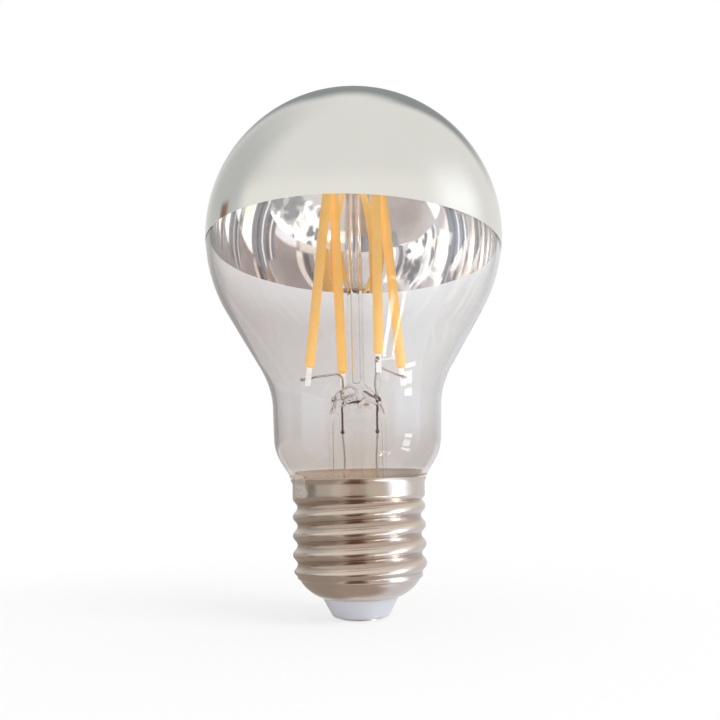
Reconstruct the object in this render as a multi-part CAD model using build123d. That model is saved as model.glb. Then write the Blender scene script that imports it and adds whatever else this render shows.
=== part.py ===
from build123d import *
import math
import os

# A silver crown filament bulb: A60 glass on an E27 screw cap.
# Millimetres. +Z runs up the bulb's axis from the bottom of the centre contact, -Y is the front.

# Clearances
FIT_GAP = 0.05          # between pressed or snapped pieces
WELD_GAP = 0.03         # between pieces that are welded or soldered
WIRE_GAP = 0.02         # between a wire and the glass around it
CEMENT_GAP = 0.02
STRIP_GAP = 0.02        # between a filament's strip and its phosphor
FILM_GAP = 0.01         # between the silver film and the glass
CUT_MARGIN = 1.0        # cuts and trimming bodies run past the faces that they open

# Screw cap
SHEET = 0.3
CREST_R = 13.1          # outside of the thread and of the plain collar
THREAD_DEPTH = 0.9
PITCH = 3.629
THREAD_ROUND = 0.9      # arc radius, as a share of the one that leaves no straight flank
ROOT_ANGLE = 20.0       # the ridge's section runs past the bottom of its roots by this angle
CREST_RISE = 2.65       # lowest crest on the +X side, above the cap's end
CAP_END_R = 7.6
CAP_END_Z = 4.0
LIP = 0.6               # flat ring turned in at the cap's end
CONE_H = 4.2
CONE_BULGE = 0.6        # crown of the closing cone over its chord
THREAD_H = 15.2         # from the closing cone up to the plain collar
THREAD_END = 0.2        # the ridge starts this far below the top of the cone
THREAD_RUNOUT = 2.0     # and gets its full depth over this height
COLLAR_H = 2.0
COLLAR_SLOPE = 1.5      # height of the collar's run down to the thread root
RIM_FLARE = 0.39
RIM_FLARE_H = 1.2
CEMENT_T = 0.8          # between the collar's bore and the end of the glass
CEMENT_TOP = 0.5        # at the front the cement stops this far below the rim,
CEMENT_CREEP = 2.15     # at the back it has crept this far above it up the shoulder,
CEMENT_SKIN = 0.15      # where it is this much thicker than its play in the rim,
CEMENT_BOTTOM = 0.4     # and it starts this far above the end of the glass

ROOT_R = CREST_R - THREAD_DEPTH
THREAD_ARC_R = THREAD_ROUND * ((PITCH / 2) ** 2 + THREAD_DEPTH**2) / (4 * THREAD_DEPTH)
CREST_Z = CAP_END_Z + CREST_RISE
CONE_Z = CAP_END_Z + CONE_H
COLLAR_Z = CONE_Z + THREAD_H
FLARE_Z = COLLAR_Z + COLLAR_H
RIM_Z = FLARE_Z + RIM_FLARE_H
RIM_R = CREST_R + RIM_FLARE

# Glass envelope
GLASS_WALL = 0.8
BALL_R = 30.4
NECK_R = 16.9
NECK_H = 5.1
NECK_TAPER = 0.2        # the neck narrows by this much down to the shoulder
NECK_CURVE_R = 17.0     # hollow curve between the ball and the neck
NECK_RUN = 13.568       # straight run between that curve and the ball
SHOULDER_R = 9.7
SHOULDER_ANGLE = 33.0   # slope of the shoulder from the axis, in degrees
RIM_CLEAR = 0.08        # between the shoulder and the cap's rim
SEAL_DEPTH = 3.8        # the glass ends this far below the rim

SLOPE = math.radians(SHOULDER_ANGLE)
SEAL_R = CREST_R - SHEET - CEMENT_T
SEAL_Z = RIM_Z - SEAL_DEPTH
SHOULDER_X = NECK_R - NECK_TAPER - SHOULDER_R
SHOULDER_REACH = SHOULDER_X + SHOULDER_R * math.cos(SLOPE) - (RIM_R - SHEET - RIM_CLEAR)
SHOULDER_Z = RIM_Z + SHOULDER_R * math.sin(SLOPE) + SHOULDER_REACH / math.tan(SLOPE)
NECK_TOP_Z = SHOULDER_Z + NECK_H
NECK_CURVE_X = NECK_R + NECK_CURVE_R
BALL_RISE = math.sqrt((BALL_R + NECK_CURVE_R) ** 2 + NECK_RUN**2 - NECK_CURVE_X**2)
BALL_Z = NECK_TOP_Z + BALL_RISE

# Silver crown
FILM = 0.08
CROWN_DROP = 2.7        # the film's edge, below the ball's centre
CROWN_LEAN_X = 2.3      # the edge falls towards +X and +Y by these angles
CROWN_LEAN_Y = 2.4

# Insulator and centre contact
CONTACT_R = 4.2
CONTACT_T = 0.5
CONTACT_SINK = 0.2      # depth of the contact's seat in the insulator
SHANK_R = 1.2
SHANK_STAND = 1.4       # the shank stands this far above the insulator
INSULATOR_BOTTOM_R = 5.4
INSULATOR_EDGE_R = 0.8
INSULATOR_INSET = 0.15  # step in from the cap's end
INSULATOR_INSIDE = 1.6  # height of the insulator inside the cap
BEAD_INSET = 0.1        # snap bead above the lip, in from the cap's end

INSULATOR_BOTTOM_Z = CONTACT_T - CONTACT_SINK
INSULATOR_TOP_Z = CAP_END_Z + INSULATOR_INSIDE
SHANK_TOP_Z = INSULATOR_TOP_Z + SHANK_STAND

# Stem
STEM_R = 5.8
STEM_WALL = 0.9
STEM_FLARE_H = 5.7      # the tube flares out to the end of the glass over this height
FLARE_EDGE = 0.9        # thickness of the flare's edge
FLARE_CURVE = (0.25, 0.35)  # its curve passes these shares of its width and height
STEM_TUBE_H = 8.5
PINCH_TAPER_H = 2.8     # the round tube flattens over this height
PINCH_H = 2.8
PINCH_W = 10.6
PINCH_T = 3.2
PINCH_CORNER = 1.2
PINCH_EDGE_R = 0.6
EXHAUST_R = 1.45
EXHAUST_BORE_R = 0.85
EXHAUST_TAIL = 7.3      # the exhaust tube's tip, below the end of the glass
BLOW_HOLE_R = 0.55
COLUMN_R = 1.55
COLUMN_BORE_R = 0.75
COLUMN_FOOT = 3.7       # solid glass between the pinch and the column's bore
COLUMN_CAP = 3.5        # and above the bore

FLARE_TOP_Z = SEAL_Z + STEM_FLARE_H
STEM_TOP_Z = FLARE_TOP_Z + STEM_TUBE_H
PINCH_Z = STEM_TOP_Z + PINCH_TAPER_H
PINCH_TOP_Z = PINCH_Z + PINCH_H
EXHAUST_TIP_Z = SEAL_Z - EXHAUST_TAIL

# Filaments
FILAMENT_R = 1.0
FILAMENT_L = 41.2
FILAMENT_END_R = 0.6
STRIP_W = 1.1
STRIP_T = 0.25
TAB_LOW = 3.8
TAB_HIGH = 4.4

# Of each: its lower phosphor end (x, y and height above the pinch), the x of its upper end,
# and whether that end is on the front (-1) or back (+1) of the support
FILAMENTS = {
    1: {"x": -9.42, "y": -1.5, "rise": 6.4, "top_x": -4.6, "side": -1},
    2: {"x": -2.88, "y": 2.5, "rise": 5.6, "top_x": -4.3, "side": 1},
    3: {"x": 4.53, "y": -2.5, "rise": 8.8, "top_x": 4.85, "side": -1},
    4: {"x": 9.29, "y": 1.5, "rise": 6.4, "top_x": 5.65, "side": 1},
}

# Support on the column's top
SUPPORT_R = 0.3
SUPPORT_CLEAR = 0.7     # height of the support above the end of the highest filament
SUPPORT_RISE = 1.3      # and above the column
SUPPORT_HALF = 0.55     # half the distance between its two runs
SUPPORT_OVERHANG = 1.2
SUPPORT_PIN_R = 0.22
SUPPORT_PIN_DEPTH = 2.5

SUPPORT_Z = PINCH_TOP_Z + max(f["rise"] for f in FILAMENTS.values()) + FILAMENT_L + SUPPORT_CLEAR
COLUMN_TOP_Z = SUPPORT_Z - SUPPORT_RISE

# Lead wires
LEAD_R = 0.22
OUTER_LEAD_R = 0.2
LEAD_INSET_LEFT = 1.9   # from the stem's bore in to each lead
LEAD_INSET_RIGHT = 0.9
SEAL_WIRE_TOP = 0.5     # a sealing wire ends this far below the top of the pinch
WELD_BEAD_R = 0.42
WELD_BEAD_DROP = 1.1    # weld bead below the place where the tube starts to flatten
LEAD_RISE = 0.7         # straight start of the inner leads above the pinch
LEAD_BEND = 0.5
WELD_LOW = 0.95         # a lead runs along a lower tab between these shares of its length
WELD_HIGH = 0.25
LEAD_OFF = 0.5          # the right lead is welded this far left of the middle of its tab
LEAD_BOW = 0.3          # and bows out to the left by this much
BOW_BEND = 1.5
ARM_WELD_LEFT = 0.58    # the side arms cross the outer lower tabs at these shares of their length
ARM_WELD_RIGHT = 0.47
ARM_END_LEFT = 1.4      # and stand out past the middle of the tab by this much
ARM_END_RIGHT = 0.9
ARM_STRAIGHT = 1.6      # they lie flat against the tab from this far before its middle
ARM_BEND = 0.7
ARM_TURN_R = 1.3        # bend of the left lead into its arm, level with the inner phosphor's end
ARM_HUMP = (0.75, 0.5, 1.15)  # the right arm first rises this far from the lead
SWAY = 0.35             # sideways sway of the outer leads
SWAY_RISE = 2.0         # height of the sway above the flare
SWAY_BEND = 6.0

LEAD_LEFT_X = -(STEM_R - STEM_WALL - LEAD_INSET_LEFT)
LEAD_RIGHT_X = STEM_R - STEM_WALL - LEAD_INSET_RIGHT
WELD_BEAD_Z = STEM_TOP_Z - WELD_BEAD_DROP

# Driver in the cap
BOARD_EDGE_GAP = 1.3    # between the board and the shell
BOARD_T = 1.0
RECTIFIER = (4.8, 4.0, 1.6)
CHIP = (5.0, 3.9, 1.5)
CHIP_INSET = 4.4        # middle of a chip, from the board's edge
CAPACITOR_R = 3.15
CAPACITOR_L = 8.0
CAPACITOR_EDGE_R = 0.5
CAPACITOR_GAP = 0.1     # between the capacitor and the insulator and shank
RESISTOR_R = 1.25
RESISTOR_L = 6.5
RESISTOR_EDGE_R = 0.4
RESISTOR_INSET = 6.1    # middle of the resistor, from the board's edge
DRIVER_WIRE_R = 0.25
DRIVER_WIRE_BEND = 0.5
WIRE_REACH = 2.15       # a resistor wire turns this far from the resistor's end
CONTACT_WIRE_RISE = 0.75  # the contact's wire turns aside this far above the shank
SHELL_WIRE_Y = -3.0
SHELL_WIRE_INSET = 2.0  # from the board's edge
SHELL_WIRE_RISE = 2.0

BOARD_R = ROOT_R - SHEET - BOARD_EDGE_GAP
BOARD_Z = INSULATOR_TOP_Z + CAPACITOR_GAP + 2 * CAPACITOR_R + WELD_GAP
BOARD_TOP_Z = BOARD_Z + BOARD_T
CHIP_Y = BOARD_R - CHIP_INSET
RESISTOR_Y = RESISTOR_INSET - BOARD_R
RESISTOR_Z = BOARD_Z - WELD_GAP - RESISTOR_R
RESISTOR_WIRE_X = RESISTOR_L / 2 + WIRE_REACH

os.makedirs("parts", exist_ok=True)


def polar(centre, radius, degrees):
    """Point on a circle in the (r, z) half plane."""
    angle = math.radians(degrees)
    return (centre[0] + radius * math.cos(angle), centre[1] + radius * math.sin(angle))


def flat(points):
    """Half-plane points (r, z) as points on the XZ plane."""
    return [(r, 0, z) for r, z in points]


def arc(centre, radius, start, end):
    """Arc in the XZ half plane from one angle to another."""
    return ThreePointArc(*flat(polar(centre, radius, a) for a in (start, (start + end) / 2, end)))


def run(points):
    """Straight runs through (r, z) points on the XZ plane."""
    return Polyline(*flat(points))


def turned(edges):
    """Solid of revolution about the axis, from the closed outline of edges in the XZ plane."""
    return revolve(make_face(Wire.combine(edges)[0]), Axis.Z)


def ends(edge):
    """First and last point of an edge as (r, z)."""
    return [(point.X, point.Z) for point in (edge @ 0, edge @ 1)]


def upright(x, y, low, high, radius):
    """Vertical cylinder between two heights."""
    return Pos(x, y, (low + high) / 2) * Cylinder(radius, high - low)


def wire_tube(points, radius, bends):
    """Round wire along straight runs joined by arcs."""
    path = FilletPolyline(*points, radius=bends)
    section = Plane(origin=path @ 0, z_dir=path % 0) * Circle(radius)
    return sweep(section, path=path)


def ball_angle():
    """Angle below the ball's equator where the straight run to the neck leaves it."""
    spread = math.atan2(NECK_RUN, BALL_R + NECK_CURVE_R)
    return math.degrees(math.atan2(BALL_RISE, NECK_CURVE_X) - spread)


def glass_outline(inset):
    """The glass section from the pole to the neck's end, moved in from the outside by inset."""
    low = ball_angle()
    ball = arc((0, BALL_Z), BALL_R - inset, 90, -low)
    curve = arc((NECK_CURVE_X, NECK_TOP_Z), NECK_CURVE_R + inset, 180 - low, 180)
    shoulder = arc((SHOULDER_X, SHOULDER_Z), SHOULDER_R - inset, 0, -SHOULDER_ANGLE)
    turn_r, turn_z = ends(shoulder)[1]
    seal_r = SEAL_R - inset
    bend_z = turn_z - (turn_r - seal_r) / math.tan(SLOPE)
    return [
        ball,
        run([ends(ball)[1], ends(curve)[0]]),
        curve,
        run([ends(curve)[1], ends(shoulder)[0]]),
        shoulder,
        run([(turn_r, turn_z), (seal_r, bend_z), (seal_r, SEAL_Z)]),
    ]


def glass_envelope():
    outside = glass_outline(0)
    inside = glass_outline(GLASS_WALL)
    pole = run([(0, BALL_Z + BALL_R - GLASS_WALL), (0, BALL_Z + BALL_R)])
    end = run([(SEAL_R, SEAL_Z), (SEAL_R - GLASS_WALL, SEAL_Z)])
    return turned([pole, *outside, end, *inside])


def silver_crown():
    """Thin film over the dome, cut off at an edge that is slightly out of level."""
    inner = BALL_R + FILM_GAP
    lowest = -math.degrees(math.asin(CROWN_DROP / BALL_R)) - CROWN_LEAN_X - CROWN_LEAN_Y
    inside = arc((0, BALL_Z), inner, 90, lowest)
    outside = arc((0, BALL_Z), inner + FILM, 90, lowest)
    pole = run([ends(inside)[0], ends(outside)[0]])
    end = run([ends(inside)[1], ends(outside)[1]])
    film = turned([pole, inside, end, outside])
    lean_x = math.tan(math.radians(CROWN_LEAN_X))
    lean_y = math.tan(math.radians(CROWN_LEAN_Y))
    edge = Plane(origin=(0, 0, BALL_Z - CROWN_DROP), z_dir=(lean_x, lean_y, 1))
    return split(film, bisect_by=edge, keep=Keep.TOP)


def thread_ridge(inset):
    """Rounded helical ridge of the rolled thread, sunk into the core, at inset below the outside."""
    crest_arc = THREAD_ARC_R - inset
    root_arc = THREAD_ARC_R + inset
    crest = (CREST_R - THREAD_ARC_R, CREST_Z)
    half = PITCH / 2
    rise = THREAD_DEPTH - 2 * THREAD_ARC_R
    lean = math.degrees(math.atan2(-rise, half))
    spread = math.degrees(math.acos(2 * THREAD_ARC_R / math.hypot(half, rise)))
    turn = lean + spread
    sunk = ROOT_R - inset - 2 * SHEET
    sides = []
    for up in (-1, 1):
        root = (ROOT_R + THREAD_ARC_R, CREST_Z + up * half)
        facing = 180 + up * turn
        bottom = 180 + up * ROOT_ANGLE
        sides.append((polar(crest, crest_arc, up * turn), polar(root, root_arc, facing),
                      polar(root, root_arc, (facing + bottom) / 2), polar(root, root_arc, bottom)))
    low, high = sides
    outline = [
        arc(crest, crest_arc, -turn, turn),
        run([high[0], high[1]]),
        ThreePointArc(*flat(high[1:])),
        run([high[3], (sunk, high[3][1]), (sunk, low[3][1]), low[3]]),
        ThreePointArc(*flat(low[:0:-1])),
        run([low[1], low[0]]),
    ]
    section = make_face(Wire.combine(outline)[0])
    height = COLLAR_Z + inset - CREST_Z
    path = Helix(PITCH, height, CREST_R, center=(0, 0, CREST_Z))
    return sweep(section, path=path, is_frenet=True)


def cone_arc(inset):
    """Closing cone of the cap, a shallow arc from the thread down to the cap's end."""
    top = (ROOT_R - inset, CONE_Z)
    low = (CAP_END_R, CAP_END_Z + inset)
    chord = math.hypot(top[0] - low[0], top[1] - low[1])
    out = ((top[1] - low[1]) / chord, -(top[0] - low[0]) / chord)
    middle = ((top[0] + low[0]) / 2 + CONE_BULGE * out[0], (top[1] + low[1]) / 2 + CONE_BULGE * out[1])
    return ThreePointArc(*flat([top, middle, low]))


def cap_body(inset):
    """Turned body of the cap at inset below its outside: rim, collar, threaded core and closing cone."""
    cone = cone_arc(inset)
    collar_r = CREST_R - inset
    body = turned([
        run([(0, RIM_Z), (RIM_R - inset, RIM_Z), (collar_r, FLARE_Z), (collar_r, COLLAR_Z),
             (ROOT_R - inset, COLLAR_Z - COLLAR_SLOPE), ends(cone)[0]]),
        cone,
        run([ends(cone)[1], (0, CAP_END_Z + inset), (0, RIM_Z)]),
    ])
    limit_r = CREST_R + CUT_MARGIN - inset
    limit_z = CAP_END_Z + SHEET + inset
    start_z = CONE_Z - THREAD_END
    limit = turned([run([(0, RIM_Z), (limit_r, RIM_Z), (limit_r, start_z + THREAD_RUNOUT),
                         (ROOT_R - inset, start_z), (CAP_END_R, limit_z), (0, limit_z), (0, RIM_Z)])])
    return body + (thread_ridge(inset) & limit)


def cap_shell():
    opening = upright(0, 0, CAP_END_Z - CUT_MARGIN, CAP_END_Z + SHEET + CUT_MARGIN, CAP_END_R - LIP)
    return cap_body(0) - cap_body(SHEET) - opening


def capping_cement():
    """Fills the collar between the glass and the shell, and creeps up the shoulder at the back."""
    play = SHEET + CEMENT_GAP
    root_z = COLLAR_Z - COLLAR_SLOPE
    lip_r, lip_z = RIM_R - play, RIM_Z + CEMENT_GAP
    skin_r, skin_z = lip_r + CEMENT_SKIN, RIM_Z + CEMENT_CREEP + CUT_MARGIN
    skin_top_r = skin_r + (skin_z - lip_z) * math.tan(SLOPE)
    bore = turned([run([(0, skin_z), (skin_top_r, skin_z), (skin_r, lip_z), (lip_r, lip_z),
                        (CREST_R - play, FLARE_Z), (CREST_R - play, COLLAR_Z), (ROOT_R - play, root_z),
                        (0, root_z), (0, skin_z)])])
    band = upright(0, 0, SEAL_Z + CEMENT_BOTTOM, skin_z, skin_top_r)
    middle = (0, 0, RIM_Z + (CEMENT_CREEP - CEMENT_TOP) / 2)
    top = Plane(origin=middle, z_dir=(0, -(CEMENT_CREEP + CEMENT_TOP) / 2, RIM_R))
    glass = turned([run([(SEAL_R + CEMENT_GAP, SEAL_Z), (0, SEAL_Z), (0, BALL_Z + BALL_R + CEMENT_GAP)]),
                    *glass_outline(-CEMENT_GAP)])
    return split((band & bore) - glass, bisect_by=top, keep=Keep.BOTTOM)


def cap_insulator():
    """White cone under the cap, snapped through the cap's lip."""
    spigot = CAP_END_R - LIP - FIT_GAP
    bead = CAP_END_R - BEAD_INSET
    lip_top = CAP_END_Z + SHEET + FIT_GAP
    body = turned([run([(0, INSULATOR_BOTTOM_Z), (INSULATOR_BOTTOM_R, INSULATOR_BOTTOM_Z),
                        (CAP_END_R - INSULATOR_INSET, CAP_END_Z), (spigot, CAP_END_Z), (spigot, lip_top),
                        (bead, lip_top), (bead, (lip_top + INSULATOR_TOP_Z) / 2),
                        (spigot, INSULATOR_TOP_Z), (0, INSULATOR_TOP_Z), (0, INSULATOR_BOTTOM_Z)])])
    edge = body.edges().filter_by(GeomType.CIRCLE).group_by(Axis.Z)[0]
    body = fillet(edge, INSULATOR_EDGE_R)
    seat = upright(0, 0, 0, CONTACT_T, CONTACT_R + FIT_GAP)
    return body - seat - upright(0, 0, 0, SHANK_TOP_Z, SHANK_R + FIT_GAP)


def centre_contact():
    return upright(0, 0, 0, CONTACT_T, CONTACT_R) + upright(0, 0, 0, SHANK_TOP_Z, SHANK_R)


def flare_arc(edge, tube_r):
    """Trumpet curve of the flare, from its edge up to the straight tube."""
    wide, high = FLARE_CURVE
    middle = (tube_r + (edge[0] - tube_r) * wide, edge[1] + (FLARE_TOP_Z - edge[1]) * high)
    return ThreePointArc(*flat([edge, middle, (tube_r, FLARE_TOP_Z)]))


def stem_flare():
    """Turned lower part of the stem tube, from the flare's edge up to where it flattens."""
    edge_r = SEAL_R - GLASS_WALL - WIRE_GAP
    bore = STEM_R - STEM_WALL
    return turned([
        flare_arc((edge_r, SEAL_Z + FLARE_EDGE), STEM_R),
        run([(STEM_R, FLARE_TOP_Z), (STEM_R, STEM_TOP_Z), (bore, STEM_TOP_Z), (bore, FLARE_TOP_Z)]),
        flare_arc((edge_r - FLARE_EDGE, SEAL_Z), bore),
        run([(edge_r - FLARE_EDGE, SEAL_Z), (edge_r, SEAL_Z), (edge_r, SEAL_Z + FLARE_EDGE)]),
    ])


def press_seal():
    """The tube flattened into the pinch, with the hollow that narrows up into it."""
    outline = RectangleRounded(PINCH_W, PINCH_T, PINCH_CORNER)
    shoulder = loft([Pos(0, 0, STEM_TOP_Z) * Circle(STEM_R), Pos(0, 0, PINCH_Z) * outline])
    slot = Ellipse(PINCH_W / 2 - STEM_WALL, STEM_WALL / 2)
    hollow = loft([Pos(0, 0, STEM_TOP_Z) * Circle(STEM_R - STEM_WALL),
                   Pos(0, 0, PINCH_Z - STEM_WALL) * slot])
    pinch = Pos(0, 0, PINCH_Z) * extrude(outline, PINCH_H)
    pinch = fillet(pinch.edges().group_by(Axis.Z)[-1], PINCH_EDGE_R)
    return (shoulder - hollow) + pinch


def column():
    """Hollow glass column above the pinch, closed at both ends."""
    bore_low = PINCH_TOP_Z + COLUMN_FOOT
    bore = upright(0, 0, bore_low, COLUMN_TOP_Z - COLUMN_CAP, COLUMN_BORE_R)
    bore += Pos(0, 0, bore_low) * Sphere(COLUMN_BORE_R)
    return upright(0, 0, PINCH_Z, COLUMN_TOP_Z, COLUMN_R) - bore


def exhaust_tube():
    tip_z = EXHAUST_TIP_Z + EXHAUST_R
    return upright(0, 0, tip_z, PINCH_Z, EXHAUST_R) + Pos(0, 0, tip_z) * Sphere(EXHAUST_R)


def stem():
    """Flare, press seal, exhaust tube and column, fused into one piece of glass."""
    glass = stem_flare() + press_seal() + column() + exhaust_tube()
    passage_top = PINCH_Z + PINCH_H / 2
    glass -= upright(0, 0, EXHAUST_TIP_Z + 2 * EXHAUST_R, passage_top, EXHAUST_BORE_R)
    blow_hole = Cylinder(BLOW_HOLE_R, PINCH_T, align=(Align.CENTER, Align.CENTER, Align.MIN))
    glass -= Pos(0, 0, passage_top - BLOW_HOLE_R) * Rot(X=-90) * blow_hole
    for x in (LEAD_LEFT_X, LEAD_RIGHT_X):
        glass -= upright(x, 0, STEM_TOP_Z, PINCH_TOP_Z + CUT_MARGIN, LEAD_R + WIRE_GAP)
    foot = COLUMN_TOP_Z - SUPPORT_PIN_DEPTH
    return glass - upright(0, -SUPPORT_HALF, foot, COLUMN_TOP_Z + CUT_MARGIN, SUPPORT_PIN_R + WIRE_GAP)


def filament_axis(number):
    """Lower phosphor end and direction of a filament."""
    data = FILAMENTS[number]
    side = data["side"] * (SUPPORT_HALF + SUPPORT_R + WELD_GAP + STRIP_T / 2)
    low = Vector(data["x"], data["y"], PINCH_TOP_Z + data["rise"])
    top = Vector(data["top_x"], side, SUPPORT_Z)
    return low, (top - low).normalized()


def filament_at(number, z):
    """Point on a filament's axis at a height."""
    low, along = filament_axis(number)
    return low + along * ((z - low.Z) / along.Z)


def filament_plane(number):
    """Local frame at the lower phosphor end: Z along the filament, X across the strip's face."""
    low, along = filament_axis(number)
    across = Vector(1, 0, 0) - along * along.X
    return Plane(origin=low, x_dir=across, z_dir=along)


def led_filament(number):
    rod = Cylinder(FILAMENT_R, FILAMENT_L, align=(Align.CENTER, Align.CENTER, Align.MIN))
    rod = fillet(rod.edges().filter_by(GeomType.CIRCLE), FILAMENT_END_R)
    slot = Box(STRIP_W + 2 * STRIP_GAP, STRIP_T + 2 * STRIP_GAP, FILAMENT_L + 2 * CUT_MARGIN)
    return filament_plane(number) * (rod - Pos(0, 0, FILAMENT_L / 2) * slot)


def filament_strip(number):
    length = TAB_LOW + FILAMENT_L + TAB_HIGH
    strip = Pos(0, 0, length / 2 - TAB_LOW) * Box(STRIP_W, STRIP_T, length)
    return filament_plane(number) * strip


def beside_tab(number, share, side):
    """Centre of a lead welded to the front (-1) or back (+1) of a filament's lower tab."""
    z = filament_axis(number)[0].Z - share * TAB_LOW
    return filament_at(number, z) + Vector(0, side * (STRIP_T / 2 + WELD_GAP + LEAD_R), 0)


def lead_foot(x):
    """The first two points of an inner lead, on the sealing wire and just above the pinch."""
    return [Vector(x, 0, PINCH_TOP_Z - SEAL_WIRE_TOP), Vector(x, 0, PINCH_TOP_Z + LEAD_RISE)]


def arm_run(corner, weld, end):
    """Points of a side arm: its corner, then straight down to a tab and flat across the tab's face."""
    fall = Vector(weld.X - corner.X, 0, weld.Z - corner.Z).normalized()
    return [corner, weld - fall * ARM_STRAIGHT, weld + fall * end]


def inner_lead_left():
    """Rises from the pinch in front of the inner filament's tab, then bends out to the outer one."""
    arm = arm_run(beside_tab(2, 0, -1), beside_tab(1, ARM_WELD_LEFT, 1), ARM_END_LEFT)
    points = [*lead_foot(LEAD_LEFT_X), beside_tab(2, WELD_LOW, -1), *arm]
    return wire_tube(points, LEAD_R, [LEAD_BEND, LEAD_BEND, ARM_TURN_R, ARM_BEND])


def right_lead(share):
    """Centre of the right lead at a share of its tab's length."""
    return beside_tab(3, share, 1) - Vector(LEAD_OFF, 0, 0)


def inner_lead_right():
    """Bows up from the pinch to the back of the inner filament's tab."""
    foot = lead_foot(LEAD_RIGHT_X)
    weld = right_lead(WELD_LOW)
    bow = (foot[1] + weld) * 0.5 - Vector(LEAD_BOW, 0, 0)
    points = [*foot, bow, weld, right_lead(WELD_HIGH)]
    return wire_tube(points, LEAD_R, [LEAD_BEND, BOW_BEND, BOW_BEND])


def side_arm_right():
    """Short wire from the back of the right lead over to the outer right filament's tab."""
    weld = right_lead(WELD_LOW) + Vector(0, 2 * LEAD_R + WELD_GAP, 0)
    arm = arm_run(weld + Vector(*ARM_HUMP), beside_tab(4, ARM_WELD_RIGHT, -1), ARM_END_RIGHT)
    return wire_tube([weld, *arm], LEAD_R, ARM_BEND)


def seal_wire(x):
    """Sealing wire inside the pinch, with the weld bead at its lower end."""
    wire = upright(x, 0, WELD_BEAD_Z, PINCH_TOP_Z - SEAL_WIRE_TOP - WELD_GAP, LEAD_R)
    return wire + Pos(x, 0, WELD_BEAD_Z) * Sphere(WELD_BEAD_R)


def outer_lead(x):
    """From the weld bead down to the driver board, with a slight sway in the stem tube."""
    sway = x - math.copysign(SWAY, x)
    points = [(x, 0, WELD_BEAD_Z - WELD_BEAD_R - WELD_GAP), (sway, 0, FLARE_TOP_Z + SWAY_RISE),
              (x, 0, SEAL_Z), (x, 0, BOARD_TOP_Z + WELD_GAP)]
    return wire_tube(points, OUTER_LEAD_R, SWAY_BEND)


def top_support():
    """Wire over the column's top, folded back at both ends, which joins the four upper tabs."""
    left = min(filament_at(n, SUPPORT_Z).X for n in FILAMENTS) - SUPPORT_OVERHANG
    right = max(filament_at(n, SUPPORT_Z).X for n in FILAMENTS) + SUPPORT_OVERHANG
    points = [(left / 2, SUPPORT_HALF, SUPPORT_Z), (left, SUPPORT_HALF, SUPPORT_Z),
              (left, -SUPPORT_HALF, SUPPORT_Z), (right, -SUPPORT_HALF, SUPPORT_Z),
              (right, SUPPORT_HALF, SUPPORT_Z), (right / 2, SUPPORT_HALF, SUPPORT_Z)]
    loop = wire_tube(points, SUPPORT_R, SUPPORT_HALF - FIT_GAP)
    return loop + upright(0, -SUPPORT_HALF, COLUMN_TOP_Z - SUPPORT_PIN_DEPTH, SUPPORT_Z, SUPPORT_PIN_R)


def on_board(size, y):
    """Chip package standing on the board."""
    return Pos(0, y, BOARD_TOP_Z + size[2] / 2) * Box(*size)


def under_board(y, z, radius, length, edge_r):
    """Round component lying under the board along X."""
    body = Pos(0, y, z) * Rot(Y=90) * Cylinder(radius, length)
    return fillet(body.edges().filter_by(GeomType.CIRCLE), edge_r)


def smoothing_capacitor():
    y = SHANK_R + CAPACITOR_GAP + CAPACITOR_R
    return under_board(y, BOARD_Z - WELD_GAP - CAPACITOR_R, CAPACITOR_R, CAPACITOR_L, CAPACITOR_EDGE_R)


def fuse_resistor():
    return under_board(RESISTOR_Y, RESISTOR_Z, RESISTOR_R, RESISTOR_L, RESISTOR_EDGE_R)


def contact_wire():
    """From the contact's shank to the fuse resistor."""
    start_z = SHANK_TOP_Z + WELD_GAP
    turn_z = SHANK_TOP_Z + CONTACT_WIRE_RISE
    points = [(0, 0, start_z), (0, 0, turn_z), (-RESISTOR_WIRE_X, RESISTOR_Y, turn_z),
              (-RESISTOR_WIRE_X, RESISTOR_Y, RESISTOR_Z),
              (-(RESISTOR_L / 2 + WELD_GAP), RESISTOR_Y, RESISTOR_Z)]
    return wire_tube(points, DRIVER_WIRE_R, DRIVER_WIRE_BEND)


def resistor_lead():
    """From the fuse resistor up to the board."""
    points = [(RESISTOR_L / 2 + WELD_GAP, RESISTOR_Y, RESISTOR_Z), (RESISTOR_WIRE_X, RESISTOR_Y, RESISTOR_Z),
              (RESISTOR_WIRE_X, RESISTOR_Y, BOARD_Z - WELD_GAP)]
    return wire_tube(points, DRIVER_WIRE_R, DRIVER_WIRE_BEND)


def shell_wire():
    """From the board to the inside of the shell."""
    start_r = BOARD_R - SHELL_WIRE_INSET
    end_r = ROOT_R - SHEET - WELD_GAP - 2 * DRIVER_WIRE_R
    start_x = math.sqrt(start_r**2 - SHELL_WIRE_Y**2)
    end_x = math.sqrt(end_r**2 - SHELL_WIRE_Y**2)
    low = BOARD_TOP_Z + WELD_GAP
    points = [(start_x, SHELL_WIRE_Y, low), (start_x, SHELL_WIRE_Y, low + SHELL_WIRE_RISE),
              (end_x, SHELL_WIRE_Y, low + SHELL_WIRE_RISE)]
    return wire_tube(points, DRIVER_WIRE_R, DRIVER_WIRE_BEND)


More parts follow.
